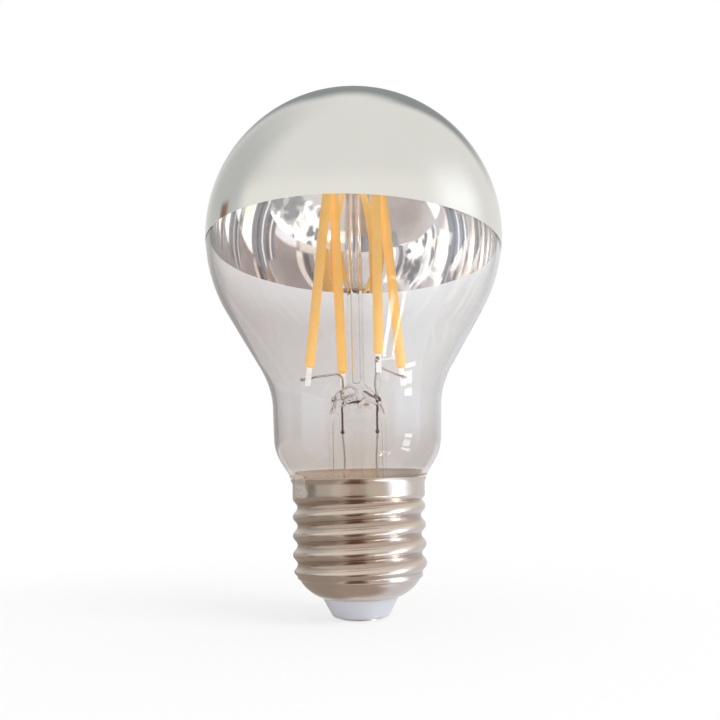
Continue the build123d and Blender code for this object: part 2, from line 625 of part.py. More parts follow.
def pieces():
    nodes = {
        "glass_envelope": glass_envelope(),
        "silver_crown": silver_crown(),
        "stem": stem(),
        "cap_shell": cap_shell(),
        "capping_cement": capping_cement(),
        "cap_insulator": cap_insulator(),
        "centre_contact": centre_contact(),
        "inner_lead_left": inner_lead_left(),
        "inner_lead_right": inner_lead_right(),
        "side_arm_right": side_arm_right(),
        "seal_wire_left": seal_wire(LEAD_LEFT_X),
        "seal_wire_right": seal_wire(LEAD_RIGHT_X),
        "outer_lead_left": outer_lead(LEAD_LEFT_X),
        "outer_lead_right": outer_lead(LEAD_RIGHT_X),
        "top_support": top_support(),
        "driver_board": upright(0, 0, BOARD_Z, BOARD_TOP_Z, BOARD_R),
        "bridge_rectifier": on_board(RECTIFIER, CHIP_Y),
        "driver_chip": on_board(CHIP, -CHIP_Y),
        "smoothing_capacitor": smoothing_capacitor(),
        "fuse_resistor": fuse_resistor(),
        "contact_wire": contact_wire(),
        "resistor_lead": resistor_lead(),
        "shell_wire": shell_wire(),
    }
    for number in FILAMENTS:
        nodes[f"led_filament_{number}"] = led_filament(number)
        nodes[f"filament_strip_{number}"] = filament_strip(number)
    return nodes


for name, solid in pieces().items():
    export_step(solid, f"parts/{name}.step")
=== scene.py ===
import math

import bpy
from mathutils import Matrix, Vector, noise


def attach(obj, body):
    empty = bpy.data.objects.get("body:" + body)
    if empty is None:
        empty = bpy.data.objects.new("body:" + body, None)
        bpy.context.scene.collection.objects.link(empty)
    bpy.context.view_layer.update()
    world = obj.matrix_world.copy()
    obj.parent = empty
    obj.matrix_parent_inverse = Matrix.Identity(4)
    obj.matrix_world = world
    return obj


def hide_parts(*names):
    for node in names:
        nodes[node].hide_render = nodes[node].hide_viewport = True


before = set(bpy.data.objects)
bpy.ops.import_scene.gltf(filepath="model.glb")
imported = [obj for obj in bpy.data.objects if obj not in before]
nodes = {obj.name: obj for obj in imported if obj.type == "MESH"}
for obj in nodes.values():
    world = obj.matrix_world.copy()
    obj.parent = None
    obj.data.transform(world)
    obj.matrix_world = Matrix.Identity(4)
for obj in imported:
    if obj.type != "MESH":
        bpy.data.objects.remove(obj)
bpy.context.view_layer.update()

MM = 0.001

# The camera: place and lens in millimetres, upward tilt and roll in degrees
CAMERA_AT = (0.79, -158.6, 25.4)
CAMERA_TILT = 9.0
CAMERA_ROLL = -1.17
CAMERA_LENS = 39.37
CAMERA_SENSOR = 36
CAMERA_NEAR = 5

# Glass envelope and its silver crown, in millimetres as in the part
GLASS_WALL = 0.8
BALL_R = 30.4
BALL_Z = 75.901
NECK_R = 16.9
NECK_TAPER = 0.2
NECK_TOP_Z = 40.101
NECK_CURVE_R = 17.0
SHOULDER_Z = 35.001
SHOULDER_R = 9.7
SHOULDER_ANGLE = 33.0
SEAL_R = 12.0
SEAL_Z = 22.8
FILM = 0.074                 # a hair thinner than on the part, to stay inside its box
FILM_GAP = 0.01
CROWN_DROP = 2.7
CROWN_LEAN_X = 2.3
CROWN_LEAN_Y = 2.4

# Screw cap
SHEET = 0.3
CREST_R = 13.1
ROOT_R = 12.2
PITCH = 3.629
THREAD_ARC_R = 1.0256
CREST_Z = 6.65
CAP_END_R = 7.6
CAP_END_Z = 4.0
LIP = 0.6
CONE_Z = 8.2
CONE_BULGE = 0.6
COLLAR_Z = 23.4
COLLAR_SLOPE = 1.5
FLARE_Z = 25.4
RIM_R = 13.49
RIM_Z = 26.6
RIM_ROLL = 0.12              # rounding of the rim's edge
GROOVE_RIM = 0.25            # painted shade in the thread's valleys stops this far below the crest
THREAD_FADE = (7.8, 9.3)     # the thread rises to its full depth between these heights
THREAD_SEAT = 0.5            # the thread's core begins this far below the top of the cone
INSIDE_STEP = 3              # the hidden inside has one ring for this many outside

# Stem
STEM_R = 5.8
STEM_WALL = 0.9
FLARE_TOP_Z = 28.5
FLARE_EDGE = 0.9
FLARE_POWER = 3.2
STEM_TOP_Z = 37.0
PINCH_Z = 39.8
PINCH_W = 10.6
PINCH_GLASS_Z = 39.6         # the thick glass of the pinch starts here
COLUMN_GLASS_Z = 45.6        # and ends here
SLOT_ARCH = 1.3              # height of the arch that closes the tube inside the pinch
STEM_GAP = 0.02              # between the stem's flare and the envelope
COLUMN_R = 1.55
COLUMN_BORE_R = 0.75
COLUMN_BORE_Z = 46.3
COLUMN_TOP_Z = 92.0
COLUMN_CAP = 3.5
EXHAUST_R = 1.45
EXHAUST_BORE_R = 0.85
EXHAUST_TIP_Z = 15.5
EXHAUST_GAP = 0.6            # between the tube's round top and the slot in the pinch
TUBE_AROUND = 64             # points round the exhaust tube and the bore of the column
ROUND_END = 80               # a round end is an arc up to this angle, and then its pole

# Steps along each stretch of the stem, and from one ring of the pinch to the next
FLARE_STEPS = 20
TUBE_STEPS = 12
PINCH_STEPS = 7
COLUMN_STEPS = 39
ARCH_STEPS = 10
SLOT_STEPS = 13
BORE_STEPS = 11

# Rings of the pinch up to the column: height, half width, half depth, squareness and crumple
PINCH_RINGS = [
    (STEM_TOP_Z, STEM_R, STEM_R, 2.0, 0.0),
    (38.2, 5.7, 3.6, 2.4, 0.1),
    (39.3, 5.5, 2.0, 3.0, 0.25),
    (40.2, 5.3, 1.6, 3.5, 0.45),
    (41.4, 5.0, 1.5, 3.5, 0.6),
    (42.6, 4.8, 1.4, 3.0, 0.6),
    (43.5, 4.4, 1.3, 2.6, 0.6),
    (44.2, 3.2, 1.4, 2.3, 0.5),
    (44.9, 2.2, 1.5, 2.1, 0.35),
    (46.0, 1.7, 1.55, 2.0, 0.15),
    (47.4, COLUMN_R, COLUMN_R, 2.0, 0.0),
]

# Crumple of the pinch: noise steps to a millimetre, the shift between the noise of folds and of lift,
# and how far they move the glass
FOLD_GRAIN = (0.6, 0.4, 0.65)
LIFT_GRAIN = (0.7, 0.5, 0.4)
LIFT_SHIFT = (0, 9, 0)
FOLD_WIDTH = 0.2
FOLD_DEPTH = 1.2
FOLD_LIFT = 1.3

# Filaments: lower phosphor end, then the upper end on the support
FILAMENT_R = 1.0
FILAMENT_L = 41.2
FILAMENT_END_R = 0.6
FILAMENT_SWELL = 0.05        # unevenness of the phosphor, as a share of its radius
FILAMENT_GRAIN = (1, 1, 0.35)
FILAMENT_SHIFT = 20          # gives each rod its own unevenness
SUPPORT_Z = 93.3
FILAMENTS = {
    1: ((-9.42, -1.5, 49.0), (-4.6, -1.005, SUPPORT_Z)),
    2: ((-2.88, 2.5, 48.2), (-4.3, 1.005, SUPPORT_Z)),
    3: ((4.53, -2.5, 51.4), (4.85, -1.005, SUPPORT_Z)),
    4: ((9.29, 1.5, 49.0), (5.65, 1.005, SUPPORT_Z)),
}

# Streaks in the pinch: a brown one of burnt wire, an orange one that is a painted glint, and a grey one
# that is painted shade along a fold's edge; and folds of its glass: finish, radius and points
STREAK_FLAT = 0.5
STRAND_END = 0.15            # square of the share of the thickness that is left at the ends
STRAND_WAVE = 0.3            # unevenness, as a share of the thickness
STRAND_GRAIN = 2.0
PINCH_STREAKS = [
    ("brown", 0.30, [(-2.0, -0.5, 41.5), (-0.6, -0.6, 41.7), (0.9, -0.5, 42.1)]),
    ("orange_glint", 0.34, [(1.4, -0.5, 41.0), (2.5, -0.5, 41.4)]),
    ("grey", 0.30, [(1.2, -0.4, 44.0), (2.6, -0.5, 43.3), (4.0, -0.4, 42.3)]),
]
PINCH_FOLDS = [
    ("glass", 0.50, [(4.1, -0.1, 42.8), (4.3, -0.9, 45.0), (4.45, -1.7, 46.6), (4.1, -2.0, 47.9)]),
    ("glass", 0.32, [(-4.0, -0.9, 43.9), (-4.4, -1.3, 41.6), (-5.0, -1.4, 39.3)]),
    ("glass", 0.30, [(-3.0, -1.6, 40.8), (-1.0, -1.8, 42.6), (0.1, -1.6, 43.7)]),
    ("glass", 0.26, [(-2.7, -1.3, 44.7), (-1.4, -1.6, 45.1), (0.4, -1.6, 44.2)]),
    ("glass", 0.30, [(1.3, -1.6, 42.4), (3.0, -1.7, 41.8), (4.4, -1.4, 41.0)]),
    ("glass", 0.26, [(4.6, -1.2, 41.3), (5.3, -0.9, 39.4)]),
    ("glass", 0.30, [(-3.6, 1.2, 43.6), (-1.2, 1.7, 42.2), (1.6, 1.6, 42.9), (3.8, 1.2, 41.2)]),
    # The grey strands that follow are painted shade along the folds' edges
    ("grey", 0.07, [(-4.1, -1.5, 43.9), (-4.3, -1.8, 42.3), (-4.9, -1.8, 40.6), (-5.1, -1.6, 39.2)]),
    ("grey", 0.07, [(-3.9, -1.8, 42.2), (-2.4, -2.0, 42.4), (-1.2, -2.0, 43.2), (-0.3, -1.9, 43.2)]),
    ("grey", 0.06, [(-2.8, -1.7, 44.4), (-1.6, -1.9, 44.9), (-0.4, -1.9, 44.4), (0.3, -1.9, 43.5)]),
    ("grey", 0.06, [(-0.2, -2.0, 41.2), (0.9, -2.0, 41.9), (1.6, -2.0, 43.0)]),
    ("grey", 0.06, [(4.6, -1.7, 41.2), (5.2, -1.5, 40.2), (5.5, -1.2, 39.2)]),
    # The white strands that follow are painted highlights on the folds
    ("white_highlight", 0.12, [(-3.9, -2.0, 40.6), (-3.2, -2.2, 41.2), (-2.6, -2.2, 41.0)]),
    ("white_highlight", 0.10, [(-0.4, -2.2, 41.0), (0.5, -2.2, 41.4), (1.1, -2.1, 42.0)]),
    ("white_highlight", 0.10, [(-4.3, -1.5, 42.5), (-3.4, -1.8, 42.1), (-2.6, -1.8, 41.7)]),
    ("white_highlight", 0.09, [(-0.9, -1.9, 43.6), (0.0, -1.9, 43.9), (0.6, -1.8, 43.4)]),
    ("white_highlight", 0.09, [(-4.7, -1.5, 39.9), (-3.9, -1.8, 39.4), (-3.2, -1.9, 39.2)]),
    ("white_highlight", 0.08, [(1.6, -2.0, 42.5), (2.8, -2.0, 42.1), (3.9, -1.8, 41.5)]),
    ("white_highlight", 0.08, [(4.5, -1.9, 45.6), (4.6, -2.2, 46.5), (4.3, -2.5, 47.4)]),
]

# Drops of weld metal on the leads: unevenness as a share of the radius, then centre and radius
LUMP = 0.45
LUMP_GRAIN = 1.6
WELDS = {
    "weld_left": ((-11.0, -1.15, 46.6), 0.34),
    "weld_inner": ((4.3, -2.55, 50.6), 0.42),
    "weld_inner_low": ((4.15, -2.5, 49.9), 0.34),
    "weld_right": ((9.6, 1.1, 47.1), 0.36),
}

# Drop of glue over the collar: heights, angles from the front and thickness
DRIP_TOP_Z = 27.6
DRIP_TIP_Z = 22.7
DRIP_ANGLE = -60.0
DRIP_LEAN = 4.0
DRIP_HALF = 14.0
DRIP_T = 0.35
DRIP_RAG = 0.7               # unevenness of its upper edge
DRIP_RAG_GRAIN = (3, 0, 0)
DRIP_RAG_SHIFT = (0, 0, 7)
DRIP_WAIST = 0.35            # share of the width that is lost at the waist
DRIP_WAIST_END = 1.4         # the waist takes up the length divided by this
DRIP_SEAT = 0.01             # between the glue and the metal
DRIP_THIN = 0.4              # share of the thickness between the folds
DRIP_FOLD = 0.8              # share that the folds add
DRIP_FOLD_GRAIN = (2.2, 4.0, 0)
DRIP_FOLD_SHIFT = (0, 0, 3)

AROUND = 192                 # points round a turned piece
OVAL_AROUND = 96             # points round the stem
TINY = 1e-6                  # a radius or a share below this counts as none
SHARP_ANGLE = 40.0           # edges over this angle stay sharp
NOISE_ROUGHNESS = 0.55       # share of the finer steps in the noise of the finishes

# Tints of the envelope's glass, and the spans in millimetres over which they change: heights, but for
# the side span, which runs from left to right. Past the glass's own faint grey-pink, the changes are
# painted
# shade and light: darker at the left, most of all on the ball, and at the shoulder; lighter at the
# right and near the seal
NECK_LEFT_SHADED_TINT = (0.790, 0.768, 0.763, 1)
BALL_LEFT_SHADED_TINT = (0.760, 0.732, 0.728, 1)
BALL_SPAN = (42, 56)
RIGHT_LIT_TINT = (0.884, 0.876, 0.872, 1)
SIDE_SPAN = (-30, 30)
SHOULDER_SHADED_TINT = (0.758, 0.718, 0.692, 1)
SHOULDER_SPAN = (30, 42)
SEAL_TINT = (0.90, 0.88, 0.86, 1)
SEAL_SPAN = (27.5, 29)
CROWN_TINT = (0.985, 0.982, 0.982, 1)
CROWN_SPAN = (62, 74)
ENVELOPE_SHADE = (0.92, 0.91, 0.90, 1)

# Glass of the stem: its tint, and its shade for light that passes straight through
STEM_TINT = (0.996, 0.994, 0.992, 1)
STEM_SHADE = (0.99, 0.985, 0.98, 1)
SLANT_POWER = 3.0            # how fast the slant tint of glass takes over

# The floor, in metres: half its side, its height, and the span over which it fades to white
FLOOR_HALF = 2.0
FLOOR_Z = -5e-5
FLOOR_FADE = (0.03, 0.16)
FLOOR_WHITE = 0.7            # share of white near the bulb
FLOOR_GREY = (0.86, 0.86, 0.86, 1)

SCATTERED_LIGHT = (0.86, 0.86, 0.87, 1)
LAMP_AIM = (0, 0, 0.055)     # in metres
WHITE = (1, 1, 1, 1)

# The room that polished metal and glass reflect: name, azimuth from the front towards the right and
# elevation, both in degrees, screen colour, strength, and softness of the edges in degrees
ROOM = [
    ("left grey wall", (-152, -84), (6, 62), (196, 197, 195), 1.0, 22),
    ("dark end wall, right", (142, 200), (30, 63), (146, 151, 150), 1.0, 9),
    ("dark end wall, left", (-200, -156), (30, 63), (146, 151, 150), 1.0, 9),
    ("front glow", (-90, 90), (8, 30), (246, 244, 238), 1.0, 8),
    ("left curtain", (-166, -96), (-90, 9), (184, 182, 180), 1.0, 7),
    ("left cupboard", (-98, -77), (-90, 5), (120, 114, 110), 1.0, 5),
    ("left wall", (-77, -44), (-90, 6), (184, 182, 180), 1.0, 7),
    ("front left", (-44, -18), (-90, 6), (210, 205, 198), 1.0, 7),
    ("front", (-18, 15), (-90, 6), (182, 166, 154), 1.0, 6),
    ("front right", (15, 52), (-90, 6), (212, 206, 197), 1.0, 5),
    ("right wall", (94, 166), (-90, 9), (228, 231, 238), 1.0, 7),
    ("left floor", (-166, -40), (-90, -10), (166, 157, 149), 1.0, 6),
    ("window light", (66, 106), (6, 32), (255, 255, 255), 1.2, 14),
    ("window", (54, 94), (-60, 8), (220, 238, 255), 1.75, 5),
    ("upper pane", (66, 78), (-8, -1), (255, 255, 255), 9.0, 0.8),
    ("middle pane", (66, 78), (-24, -12), (255, 255, 255), 7.0, 1),
    ("lower pane", (68, 84), (-31, -27), (255, 255, 255), 9.0, 1),
    ("table glint", (39, 44), (-50, -44), (255, 255, 255), 9.0, 0.8),
    ("table glint", (52, 55), (-46, -39), (255, 255, 255), 9.0, 0.6),
    ("table edge", (35, 55), (-42, -40), (255, 255, 255), 5.0, 0.5),
    ("door edge", (-118, -108), (12, 23), (140, 104, 84), 1.0, 2),
    ("brown panel", (-27, 13), (-82, -7), (112, 80, 64), 1.0, 5),
    ("table", (-200, 200), (-100, -64), (178, 166, 157), 1.0, 6),
]

# What is reflected upwards through the bulb's own glass: upright stripes on the threads
HIGH_PANELS = [
    ("left wall, back", (-176, -98), (-3, 100), (164, 159, 155), 1.0, 2),
    ("left cupboard", (-98, -77), (-3, 100), (110, 104, 100), 1.0, 2),
    ("left wall", (-77, -40), (-3, 100), (184, 178, 172), 1.0, 2),
    ("front left", (-40, -22), (-3, 100), (166, 154, 144), 1.0, 2),
    ("brown panel", (-22, 14), (-3, 100), (132, 104, 88), 1.0, 2),
    ("front right", (14, 52), (-3, 100), (192, 182, 171), 1.0, 2),
    ("window", (52, 96), (-3, 100), (218, 236, 255), 1.8, 2),
    ("right wall", (96, 176), (-3, 100), (218, 217, 218), 1.0, 2),
]

# What the hollow of the mirror shows, again by azimuth, elevation, screen colour, strength and softness
MIRROR_PANELS = [
    ("left wall", (-140, -26), (-62, -6), (192, 184, 180), 1.25, 4),
    ("right wall", (84, 172), (-70, 2), (222, 224, 228), 1.5, 3),
    ("back wall", (-172, -134), (-70, 2), (204, 202, 202), 1.5, 3),
    ("left ceiling", (-82, -42), (-9, 3), (230, 233, 236), 1.8, 1),
    ("left curtain", (-122, -88), (-11, 3), (230, 223, 212), 1.7, 1.5),
    ("brown front", (-22, 8), (-70, -20), (176, 154, 140), 1.3, 3),
    ("blue front", (-40, 8), (-21, -4), (150, 152, 158), 1.25, 1),
    ("bright lower front", (8, 46), (-25, -15), (240, 233, 223), 1.9, 1),
    ("pane 1", (11, 29), (-21, -17), (255, 255, 255), 2.8, 0.6),
    ("pane 2", (46, 88), (-21, -6), (250, 251, 252), 2.1, 1.2),
    ("window", (34, 62), (-33, -9), (250, 250, 248), 1.55, 1.5),
    ("grey window", (60, 92), (-43, -20), (190, 188, 187), 1.4, 2),
    ("light streak 1", (-34, -31), (-21, -4), (238, 236, 232), 1.9, 0.7),
    ("dark streak 1", (-28, -23), (-21, -4), (112, 114, 120), 1.2, 0.8),
    ("light streak 2", (-17, -14), (-21, -4), (236, 236, 236), 1.8, 0.7),
    ("dark streak 2", (-8, -3), (-21, -4), (118, 121, 128), 1.2, 0.8),
    ("dark streak 3", (34, 37), (-25, -15), (150, 144, 138), 1.2, 0.6),
    ("dark streak 4", (54, 58), (-16, -6), (128, 131, 137), 1.2, 0.8),
    ("dark streak 5", (70, 76), (-20, -6), (122, 126, 134), 1.2, 1),
    ("dark streak 6", (98, 106), (-50, 2), (140, 145, 154), 1.2, 1.5),
    ("light streak 3", (112, 120), (-50, 2), (255, 255, 255), 2.2, 1.5),
    ("dark streak 7", (138, 146), (-60, 2), (140, 142, 148), 1.2, 1.5),
    ("light streak 4", (-92, -82), (-54, -12), (240, 235, 228), 1.9, 1.5),
    ("dark streak 8", (-104, -95), (-54, -12), (128, 126, 127), 1.2, 1.5),
    ("light streak 5", (-124, -113), (-54, -12), (236, 230, 224), 1.8, 1.5),
    ("light streak 6", (-154, -142), (-60, 2), (246, 244, 242), 2.0, 1.5),
]
ROOM_BASE = ((237, 235, 231), 1.0)
MIRROR_BASE = ((206, 204, 203), 1.45)
SOFT_LIGHT = ((240, 237, 236), 1.0)      # for reflections in the glass walls themselves
MIRROR_CROSSINGS = 6.5                   # light by way of the mirror crosses more faces than this

# Mottle of the window in the mirror: where it lies, and the spans of its noise that turn white or grey
MOTTLE_SCALE = 5.0
MOTTLE_AZIMUTH = (36, 94)
MOTTLE_ELEVATION = (-44, -8)
MOTTLE_SOFT = 2
MOTTLE_WHITE = ((255, 255, 255), 1.9)
MOTTLE_WHITE_SPAN = (0.53, 0.60)
MOTTLE_GREY = ((140, 142, 146), 1.3)
MOTTLE_GREY_SPAN = (0.42, 0.49)


def paint(red, green, blue):
    """Linear colour from screen values of 0 to 255."""
    linear = []
    for level in (red, green, blue):
        share = level / 255
        linear.append(share / 12.92 if share <= 0.04045 else ((share + 0.055) / 1.055) ** 2.4)
    return (*linear, 1.0)


class Value:
    """A socket of a finish; arithmetic on it adds Math nodes."""

    def __init__(self, finish, socket):
        self.finish = finish
        self.socket = socket

    def math(self, operation, first, second=0.0):
        return self.finish.node("Math", {"operation": operation}, {0: first, 1: second})

    def __add__(self, other):
        return self.math("ADD", self, other)

    __radd__ = __add__

    def __mul__(self, other):
        return self.math("MULTIPLY", self, other)

    __rmul__ = __mul__

    def __sub__(self, other):
        return self.math("SUBTRACT", self, other)

    def __rsub__(self, other):
        return self.math("SUBTRACT", other, self)

    def __pow__(self, other):
        return self.math("POWER", self, other)

    def above(self, limit):
        return self.math("GREATER_THAN", self, limit)

    def counted(self):
        """1 where a count of bounces is one or more."""
        return self.above(0.5)

    def larger(self, other):
        return self.math("MAXIMUM", self, other)

    def rise(self, low, high):
        """0 below low, 1 above high, and smooth between them."""
        sockets = {"Value": self, "From Min": low, "From Max": high}
        return self.finish.node("MapRange", {"interpolation_type": "SMOOTHSTEP"}, sockets)

    def window(self, low, high, soft):
        """1 between low and high, with soft edges."""
        return self.rise(low - soft, low + soft) * (1 - self.rise(high - soft, high + soft))


class Finish:
    """The node tree of a material or of the world."""

    def __init__(self, tree):
        self.tree = tree
        tree.nodes.clear()

    def node(self, kind, settings=None, sockets=None, output=0):
        """Adds a node: its type, its settings, then the values or links of its sockets."""
        made = self.tree.nodes.new("ShaderNode" + kind)
        for name, value in (settings or {}).items():
            setattr(made, name, value)
        for name, value in (sockets or {}).items():
            if isinstance(value, Value):
                self.tree.links.new(value.socket, made.inputs[name])
            else:
                made.inputs[name].default_value = value
        return Value(self, made.outputs[output])

    def place(self):
        """Position in the bulb's frame, in metres."""
        return self.node("TexCoord", output="Object")

    def axes(self, vector, letters):
        """The parts of a vector along the axes named by the letters."""
        return [self.node("SeparateXYZ", None, {0: vector}, output=letter) for letter in letters]

    def ray(self, fact):
        """What the Light Path node tells of the ray."""
        return self.node("LightPath", output=fact)

    def noise(self, size, detail=3.0, stretch=(1, 1, 1)):
        """Noise between 0 and 1 whose features are about size millimetres across."""
        scaled = self.node("VectorMath", {"operation": "MULTIPLY"}, {0: self.place(), 1: stretch})
        return self.node("TexNoise", None, {"Vector": scaled, "Scale": 1 / (size * MM),
                                            "Detail": detail, "Roughness": NOISE_ROUGHNESS})

    def blend(self, share, first, second):
        """Mix of two colours."""
        return self.node("Mix", {"data_type": "RGBA"}, {0: share, 6: first, 7: second}, output=2)

    def bump(self, height, distance):
        """Normal of a height between 0 and 1, with distance in millimetres."""
        return self.node("Bump", None, {"Height": height, "Distance": distance * MM, "Strength": 1.0})

    def mix(self, share, first, second):
        """Mix of two shaders."""
        return self.node("MixShader", None, {0: share, 1: first, 2: second})

    def principled(self, **sockets):
        """Principled shader; an underscore stands for a space in a socket's name."""
        named = {key.replace("_", " "): value for key, value in sockets.items()}
        return self.node("BsdfPrincipled", None, named)

    def show(self, shader, output="Material"):
        """Links the finished shader to the output of the material or the world."""
        made = self.tree.nodes.new("ShaderNodeOutput" + output)
        self.tree.links.new(shader.socket, made.inputs["Surface"])


def metres(span):
    """A span of millimetres in metres."""
    return [value * MM for value in span]


def material(name):
    """A new material and the finish that makes it."""
    made = bpy.data.materials.new(name)
    made.use_nodes = True
    return made, Finish(made.node_tree)


def glass(name, tint, shade, index, ripple, ripple_size, slant_tint=None):
    """Clear glass that lamps and scattered light pass straight through, dimmed by its shade.

    The tint is a colour or a function that makes one; where the glass is seen at a slant, slant_tint
    takes over.
    """
    made, f = material(name)
    if callable(tint):
        tint = tint(f)
    if slant_tint:
        slant = f.node("LayerWeight", None, {"Blend": 0.5}, output="Facing")
        tint = f.blend(slant ** SLANT_POWER, tint, slant_tint)
    wave = f.bump(f.noise(ripple_size, detail=2.0), ripple)
    body = f.principled(Base_Color=tint, Roughness=0.0, IOR=index, Transmission_Weight=1.0, Normal=wave)
    clear = f.node("BsdfTransparent", None, {"Color": shade})
    f.show(f.mix(f.ray("Is Shadow Ray").larger(f.ray("Is Diffuse Ray")), body, clear))
    return made


def neck_shaded_tint(f):
    """Grey-pink glass below the crown, with painted shade that makes it greyest at the left and the
    shoulder; clear under the crown.
    """
    x, z = f.axes(f.place(), "XZ")
    left = f.blend(z.rise(*metres(BALL_SPAN)), NECK_LEFT_SHADED_TINT, BALL_LEFT_SHADED_TINT)
    body = f.blend(x.rise(*metres(SIDE_SPAN)), left, RIGHT_LIT_TINT)
    body = f.blend(z.rise(*metres(SHOULDER_SPAN)), SHOULDER_SHADED_TINT, body)
    body = f.blend(z.rise(*metres(SEAL_SPAN)), SEAL_TINT, body)
    return f.blend(z.rise(*metres(CROWN_SPAN)), body, CROWN_TINT)


def crown_lacquer():
    """Outside of the crown: a bright mirror film under smooth lacquer."""
    made, f = material("crown_lacquer")
    cloud = f.noise(9.0)
    colour = f.blend(cloud, paint(231, 231, 228), paint(236, 236, 233))
    f.show(f.principled(Base_Color=colour, Metallic=1.0, Roughness=0.1 + 0.03 * cloud))
    return made


def crown_mirror():
    """Inside of the crown, seen through the glass: the bright side of the film."""
    made, f = material("crown_mirror")
    cloud = f.noise(6.0)
    ripple = f.bump(f.noise(9.0, detail=1.0), 0.03)
    colour = f.blend(cloud, paint(244, 242, 240), paint(250, 249, 248))
    f.show(f.principled(Base_Color=colour, Metallic=1.0, Roughness=0.01 + 0.02 * cloud, Normal=ripple))
    return made


def phosphor():
    """Orange silicone with phosphor, a little uneven, with a faint painted glow that brightens it."""
    made, f = material("phosphor")
    cloud = f.noise(2.5)
    grain = f.noise(0.18, detail=2.0)
    colour = f.blend(cloud, paint(255, 194, 92), paint(255, 208, 126))
    colour = f.blend(grain * 0.25, colour, paint(255, 218, 146))
    # The emission is a painted glow that brightens the unlit rods
    f.show(f.principled(Base_Color=colour, Roughness=0.42 + 0.12 * cloud, Normal=f.bump(grain, 0.02),
                        Emission_Color=colour, Emission_Strength=0.44))
    return made


def drawn_metal(name, dark, bright, roughness, grain_size=0.3, length=8.0):
    """Bare metal with drawing marks along the bulb's axis and a slight stain."""
    made, f = material(name)
    marks = f.noise(grain_size, detail=2.0, stretch=(1, 1, 1 / length))
    stain = f.noise(1.8)
    colour = f.blend(stain, dark, bright)
    f.show(f.principled(Base_Color=colour, Metallic=1.0, Roughness=roughness + 0.12 * marks,
                        Normal=f.bump(marks, 0.004)))
    return made


def bright_tab():
    """Pale tinned strip that scatters most of its light, with a painted glow that keeps it white."""
    made, f = material("bright_strip")
    marks = f.noise(0.3, detail=2.0, stretch=(1, 1, 0.12))
    colour = f.blend(marks, paint(236, 236, 234), paint(255, 255, 253))
    # The emission is a painted glow that keeps the strip white
    f.show(f.principled(Base_Color=colour, Metallic=0.25, Roughness=0.35 + 0.15 * marks,
                        Normal=f.bump(marks, 0.006), Emission_Color=colour, Emission_Strength=0.5))
    return made


def cap_nickel():
    """Nickel plate on rolled sheet: fine rings, cloudy patches, and painted shade in the thread's
    valleys.
    """
    made, f = material("cap_nickel")
    x, y, z = f.axes(f.place(), "XYZ")
    radius = (x * x + y * y) ** 0.5
    valley_shade = 1 - radius.rise(*metres((ROOT_R, CREST_R - GROOVE_RIM)))
    thread = z.rise(*metres((CONE_Z, THREAD_FADE[1])))
    rings = f.noise(0.14, detail=2.0, stretch=(0.05, 0.05, 1))
    cloud = f.noise(3.0)
    waves = f.noise(2.4, detail=1.0)
    colour = f.blend(cloud, paint(213, 199, 187), paint(222, 209, 198))
    # painted shade: the colour darkens in the thread's valleys
    colour = f.blend(valley_shade * thread * 0.6, colour, paint(160, 136, 120))
    f.show(f.principled(Base_Color=colour, Metallic=1.0, Roughness=0.15 + 0.08 * cloud + 0.05 * rings,
                        Normal=f.bump(rings * 0.3 + waves, 0.03)))
    return made


def cement():
    """Baked brown cement, grainy and matt."""
    made, f = material("cement")
    grain = f.noise(0.35, detail=5.0)
    colour = f.blend(grain, paint(206, 182, 160), paint(255, 244, 230))
    f.show(f.principled(Base_Color=colour, Roughness=0.8 + 0.15 * grain, Normal=f.bump(grain, 0.08)))
    return made


def insulator_white():
    """Moulded white plastic with faint flow marks."""
    made, f = material("insulator_white")
    flow = f.noise(2.2, stretch=(1, 1, 0.3))
    grain = f.noise(0.12, detail=2.0)
    colour = f.blend(flow, paint(208, 211, 218), paint(219, 222, 229))
    f.show(f.principled(Base_Color=colour, Roughness=0.34 + 0.1 * flow, Normal=f.bump(grain, 0.004)))
    return made


def moulded(name, dark, bright, roughness):
    """Fine-grained plastic, lacquer or glaze."""
    made, f = material(name)
    grain = f.noise(0.15)
    cloud = f.noise(1.8)
    f.show(f.principled(Base_Color=f.blend(cloud, dark, bright), Roughness=roughness + 0.15 * grain,
                        Normal=f.bump(grain, 0.01)))
    return made


def glue():
    """Milky, half clear glue."""
    made, f = material("glue")
    cloud = f.noise(0.8)
    colour = f.blend(cloud, paint(204, 192, 180), paint(242, 238, 232))
    f.show(f.principled(Base_Color=colour, Roughness=0.08 + 0.1 * cloud, Alpha=0.2 + 0.4 * cloud,
                        Normal=f.bump(f.noise(0.9, detail=1.0), 0.25)))
    return made


def join_rows(rows, loop=False):
    """Faces between neighbouring rows of vertex numbers; a pole repeats one number."""
    faces = []
    for low, high in zip(rows, rows[1:] + rows[:1] if loop else rows[1:]):
        for i in range(len(low)):
            j = (i + 1) % len(low)
            corners = list(dict.fromkeys((low[i], low[j], high[j], high[i])))
            if len(corners) > 2:
                faces.append(corners)
    return faces


